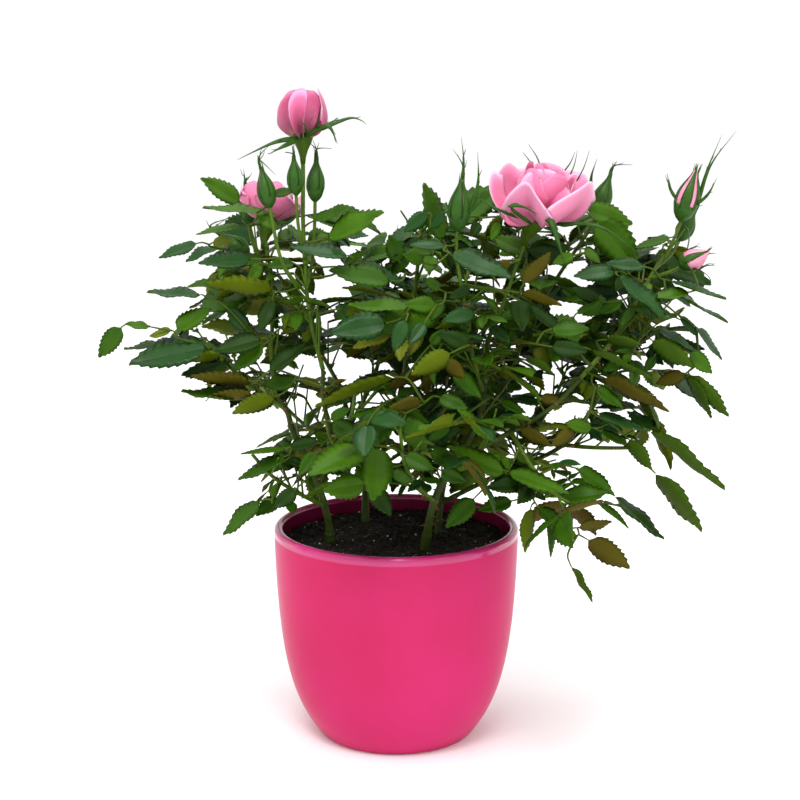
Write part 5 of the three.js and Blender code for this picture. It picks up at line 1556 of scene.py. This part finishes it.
def rose(bearer, name, layers, material, draw, draped=(), heart=(0, 0, 0), curled=1.0):
    """An open rose on a mass: rings of petals round its heart, then outer petals one by one."""
    batch, tints, head, petals = Batch(), [], head_frame(blooms[bearer]), []
    for count, foot, rim, tall, half, roll, point, close, deep, shift in layers:
        for k in range(count):
            turn = 2 * math.pi * k / count + shift + spread(draw, 0.12)
            own_rim, own_tall = rim * (1 + spread(draw, 0.05)), tall * (1 + spread(draw, 0.05))
            grid, tint = petal(head, turn, foot, own_rim, own_tall, math.radians(half),
                               roll * (0.7 + 0.6 * draw()), point, close, draw)
            petals.append((grid, tint * (1 - deep)))
    for foot, belly, deep, rim in draped:
        grid, tint = draped_petal(foot, belly, rim, heart, curled)
        petals.append((grid, np.clip(tint * (1 - deep), 0, 1)))
    for grid, tint in petals:
        batch.add(*shell(grid), 0)
        tints.append(np.concatenate([tint.reshape(-1), tint[1:-1, 1:-1].reshape(-1)]))
    piece = batch.make(name, [material], "foliage", [bearer])
    shade = piece.data.attributes.new("tint", "FLOAT", "POINT")
    shade.data.foreach_set("value", np.concatenate(tints).astype(np.float32))


blooms = {mass["name"]: stalk for mass in masses for stalk in mass.get("stalks", [])
          if stalk["head"] == "bloom"}
# Both ramps end in the petals' own pale rims, and the top rose's cream foot is its own colour; the darker
# pink lower down is partly the petals' own colour, partly painted shade.
rose_pink = petal_finish("rose_petal", [(0, "#C48A78"), (0.1, "#CF6E8C"), (0.35, "#DB6E98"), (0.6, "#E482AA"),
                                        (0.85, "#EE9CC0"), (1, "#F6BEDA")])
pale_foot = petal_finish("pale_footed_petal", [(0, "#9C9068"), (0.08, "#A87C70"), (0.18, "#A85070"),
                                               (0.5, "#B2406C"), (0.75, "#C85E8C"), (1, "#DC94BC")])
# Outer petals of the largest rose: foot, belly, how much darker it is painted (partly its own colour, partly
# painted shade on the petals behind) and five points of the rim.
big_petals = [
    ((72, -19, 277), (63, -38, 277), 0,
     [(53, -31, 285), (56, -37, 293), (64, -40, 300), (70, -42, 292), (77, -40, 282)]),
    ((75, -19, 277), (89, -36, 276), 0,
     [(73, -41, 286), (80, -40, 291), (89, -36, 296), (96, -27, 299), (99, -18, 289)]),
    ((71, -16, 277), (49, -20, 279), 0,
     [(55, -30, 282), (50, -27, 289), (48, -20, 296), (50, -13, 303), (56, -4, 300)]),
    ((73, -12, 276), (53, 2, 282), 0.12,
     [(51, -10, 295), (54, -4, 302), (59, 2, 306), (65, 5, 301), (70, 4, 295)]),
    ((74, -19, 277), (74, -38, 284), 0.06,
     [(60, -27, 291), (65, -25, 302), (74, -23, 305), (82, -24, 301), (87, -26, 291)]),
    ((75, -10, 276), (79, 8, 282), 0.1,
     [(62, -2, 296), (69, 2, 304), (77, 4, 306), (85, 2, 303), (91, -2, 295)]),
    ((77, -12, 276), (99, -2, 281), 0.05,
     [(86, 2, 298), (90, 5, 301), (96, 4, 300), (98, -4, 294), (98, -12, 288)]),
    ((74, -8, 276), (58, 16, 279), 0,
     [(53, 2, 290), (57, 10, 297), (63, 15, 302), (70, 17, 301), (75, 16, 296)]),
    ((76, -8, 276), (94, 16, 279), 0,
     [(79, 17, 297), (85, 16, 301), (92, 13, 301), (96, 7, 297), (98, 0, 290)]),
    ((75, -6, 276), (78, 24, 278), 0,
     [(63, 14, 292), (69, 20, 298), (77, 22, 301), (86, 20, 298), (92, 14, 292)]),
]
# Petals of the topmost rose, closed over one another: three in front, one in their gap, two behind. Their
# third number is how much darker each is painted, partly painted shade; below zero it paints the lit front
# petal lighter as painted light.
top_petals = [
    ((-47.9, -11.0, 318.6), (-59.9, -19.0, 325.4), 0.2,
     [(-59.4, -6.0, 330.3), (-58.0, -11.0, 335.5), (-55.2, -15.0, 339.3),
      (-50.9, -15.5, 342.0), (-45.9, -18.0, 338.7)]),
    ((-46.9, -12.0, 318.6), (-48.8, -30.0, 324.5), -0.15,
     [(-52.9, -19.0, 329.4), (-53.1, -18.5, 336.7), (-49.9, -15.5, 342.5),
      (-44.5, -15.5, 342.0), (-45.3, -20.5, 329.9)]),
    ((-45.9, -11.0, 318.6), (-32.1, -16.0, 324.3), 0.02,
     [(-38.7, -19.5, 328.9), (-37.7, -17.0, 335.2), (-39.9, -12.0, 343.2),
      (-37.4, -5.0, 338.8), (-35.7, 0.0, 332.6)]),
    ((-46.4, -11.0, 318.6), (-41.2, -25.0, 326.7), 0.25,
     [(-49.4, -17.5, 338.2), (-45.2, -15.0, 341.5), (-42.8, -14.0, 342.2),
      (-40.4, -12.5, 341.2), (-37.1, -13.0, 336.0)]),
    ((-47.6, -8.0, 318.4), (-59.7, 8.0, 323.2), 0.05,
     [(-58.6, -8.0, 330.9), (-57.3, -2.0, 337.2), (-53.9, 0.0, 341.4),
      (-49.0, 4.0, 342.0), (-45.7, 8.0, 338.4)]),
    ((-46.6, -8.0, 318.4), (-40.5, 16.0, 321.8), 0.05,
     [(-50.2, 7.0, 337.4), (-45.8, 2.0, 341.6), (-41.6, -1.0, 341.1),
      (-37.6, -1.0, 336.7), (-35.4, -7.0, 330.9)]),
]
draw = sequence(31)
# Each ring of petals: count, foot, rim, height, half width in degrees, roll, point, how far shut, how much
# darker it is painted (partly its own colour, partly painted shade deeper in the heart) and turn.
rose("mass_big_rose", "big_rose",
     [(5, 2.5, 14.5, 25, 60, 1.0, 1.0, 0.35, 0.2, 0.2), (4, 2, 9.5, 26, 74, 0.4, 0.5, 0.45, 0.34, 1.0),
      (4, 1.5, 6, 25, 80, 0, 0.3, 0.5, 0.45, 0.3), (3, 1, 3.2, 24, 100, 0, 0, 0.5, 0.5, 0.4)],
     rose_pink, draw, big_petals, (75, -12, 285))
rose("mass_left_top", "top_rose",
     [(3, 2.2, 10.8, 19.4, 74, 0.2, 0.4, 1.0, 0.3, 0.75), (3, 2.0, 9.6, 20.2, 80, 0, 0.3, 1.0, 0.36, 0.1),
      (3, 1.5, 6.5, 20.4, 90, 0, 0.2, 1.0, 0.45, 0.4), (3, 1, 2.6, 20.6, 110, 0, 0, 1.0, 0.5, 0.9)],
     pale_foot, draw, top_petals, (-46, -10, 330), 0.35)
rose("mass_left_outer", "left_rose",
     [(6, 2.6, 15.4, 14, 46, 2.6, 2.0, 0.1, 0.0, 0.2), (5, 2.2, 11.5, 16.5, 56, 1.2, 1.2, 0.25, 0.14, 0.8),
      (4, 1.6, 7.5, 17, 68, 0.4, 0.6, 0.4, 0.32, 0.4), (3, 1, 3.4, 16, 100, 0, 0, 0.5, 0.5, 0.1)],
     rose_pink, draw)
rose("mass_right_back", "back_rose",
     [(6, 2.6, 15.4, 17, 46, 2.6, 2.2, 0.1, 0.0, 0.5), (5, 2.2, 11.5, 20, 56, 1.2, 1.2, 0.25, 0.14, 0.1),
      (4, 1.6, 7.5, 20.5, 68, 0.4, 0.6, 0.4, 0.32, 0.7), (3, 1, 3.4, 19, 100, 0, 0, 0.5, 0.5, 0.2)],
     rose_pink, draw)

# ---------------------------------------------------------------- floor, lights and camera
# A pale seamless floor under soft studio light, sizes in metres: a broad key lamp high in front, a
# weak fill from the right, a lamp above the back, and two small warm lamps low at the sides, in a
# bright pale room.

floor_mesh = bpy.data.meshes.new("floor")
edge = 30.0
corners = [(-edge, -edge, 0), (edge, -edge, 0), (edge, edge, 0), (-edge, edge, 0)]
floor_mesh.from_pydata(corners, [], [(0, 1, 2, 3)])
studio_floor = bpy.data.objects.new("studio_floor", floor_mesh)
bpy.context.scene.collection.objects.link(studio_floor)
floor_mesh.materials.append(surface("pale_floor", "#F8F8F8", "#FBFBFB", 0.8, grain=3))

world = bpy.data.worlds.new("pale_room")
world.use_nodes = True
background = world.node_tree.nodes["Background"]
background.inputs["Color"].default_value = (1, 1, 1, 1)
background.inputs["Strength"].default_value = 1.05
bpy.context.scene.world = world
bpy.context.scene.view_settings.view_transform = "Standard"


def lamp(name, at, towards, size, watts, colour=(1, 1, 1)):
    """A broad lamp turned towards a spot."""
    light = bpy.data.lights.new(name, "AREA")
    light.shape = "RECTANGLE"
    light.size, light.size_y = size
    light.energy = watts
    light.color = colour
    holder = bpy.data.objects.new(name, light)
    holder.location = at
    aim = Vector(np.array(towards) - np.array(at))
    holder.rotation_euler = aim.to_track_quat("-Z", "Y").to_euler()
    bpy.context.scene.collection.objects.link(holder)


lamp("key_lamp", (-0.2, -0.85, 1.7), (0, 0, 0.2), (0.7, 0.6), 20)
lamp("fill_lamp", (1.3, -1.0, 0.9), (0, 0, 0.15), (0.9, 0.9), 2)
lamp("top_lamp", (0.3, 0.5, 1.7), (0, 0, 0.25), (0.8, 0.6), 8)
for name, x in (("warm_left", -0.9), ("warm_right", 0.9)):
    lamp(name, (x, 0.35, 0.12), (0, 0, 0.07), (0.3, 0.3), 0.5, (1, 0.72, 0.45))

camera = bpy.data.cameras.new("camera")
camera.lens = 78.66
camera.sensor_width = 36
viewer = bpy.data.objects.new("camera", camera)
camera_dip = 11.545
viewer.location = FRONT * 0.001
viewer.rotation_euler = (math.radians(90 - camera_dip), 0, 0)
bpy.context.scene.collection.objects.link(viewer)
bpy.context.scene.camera = viewer
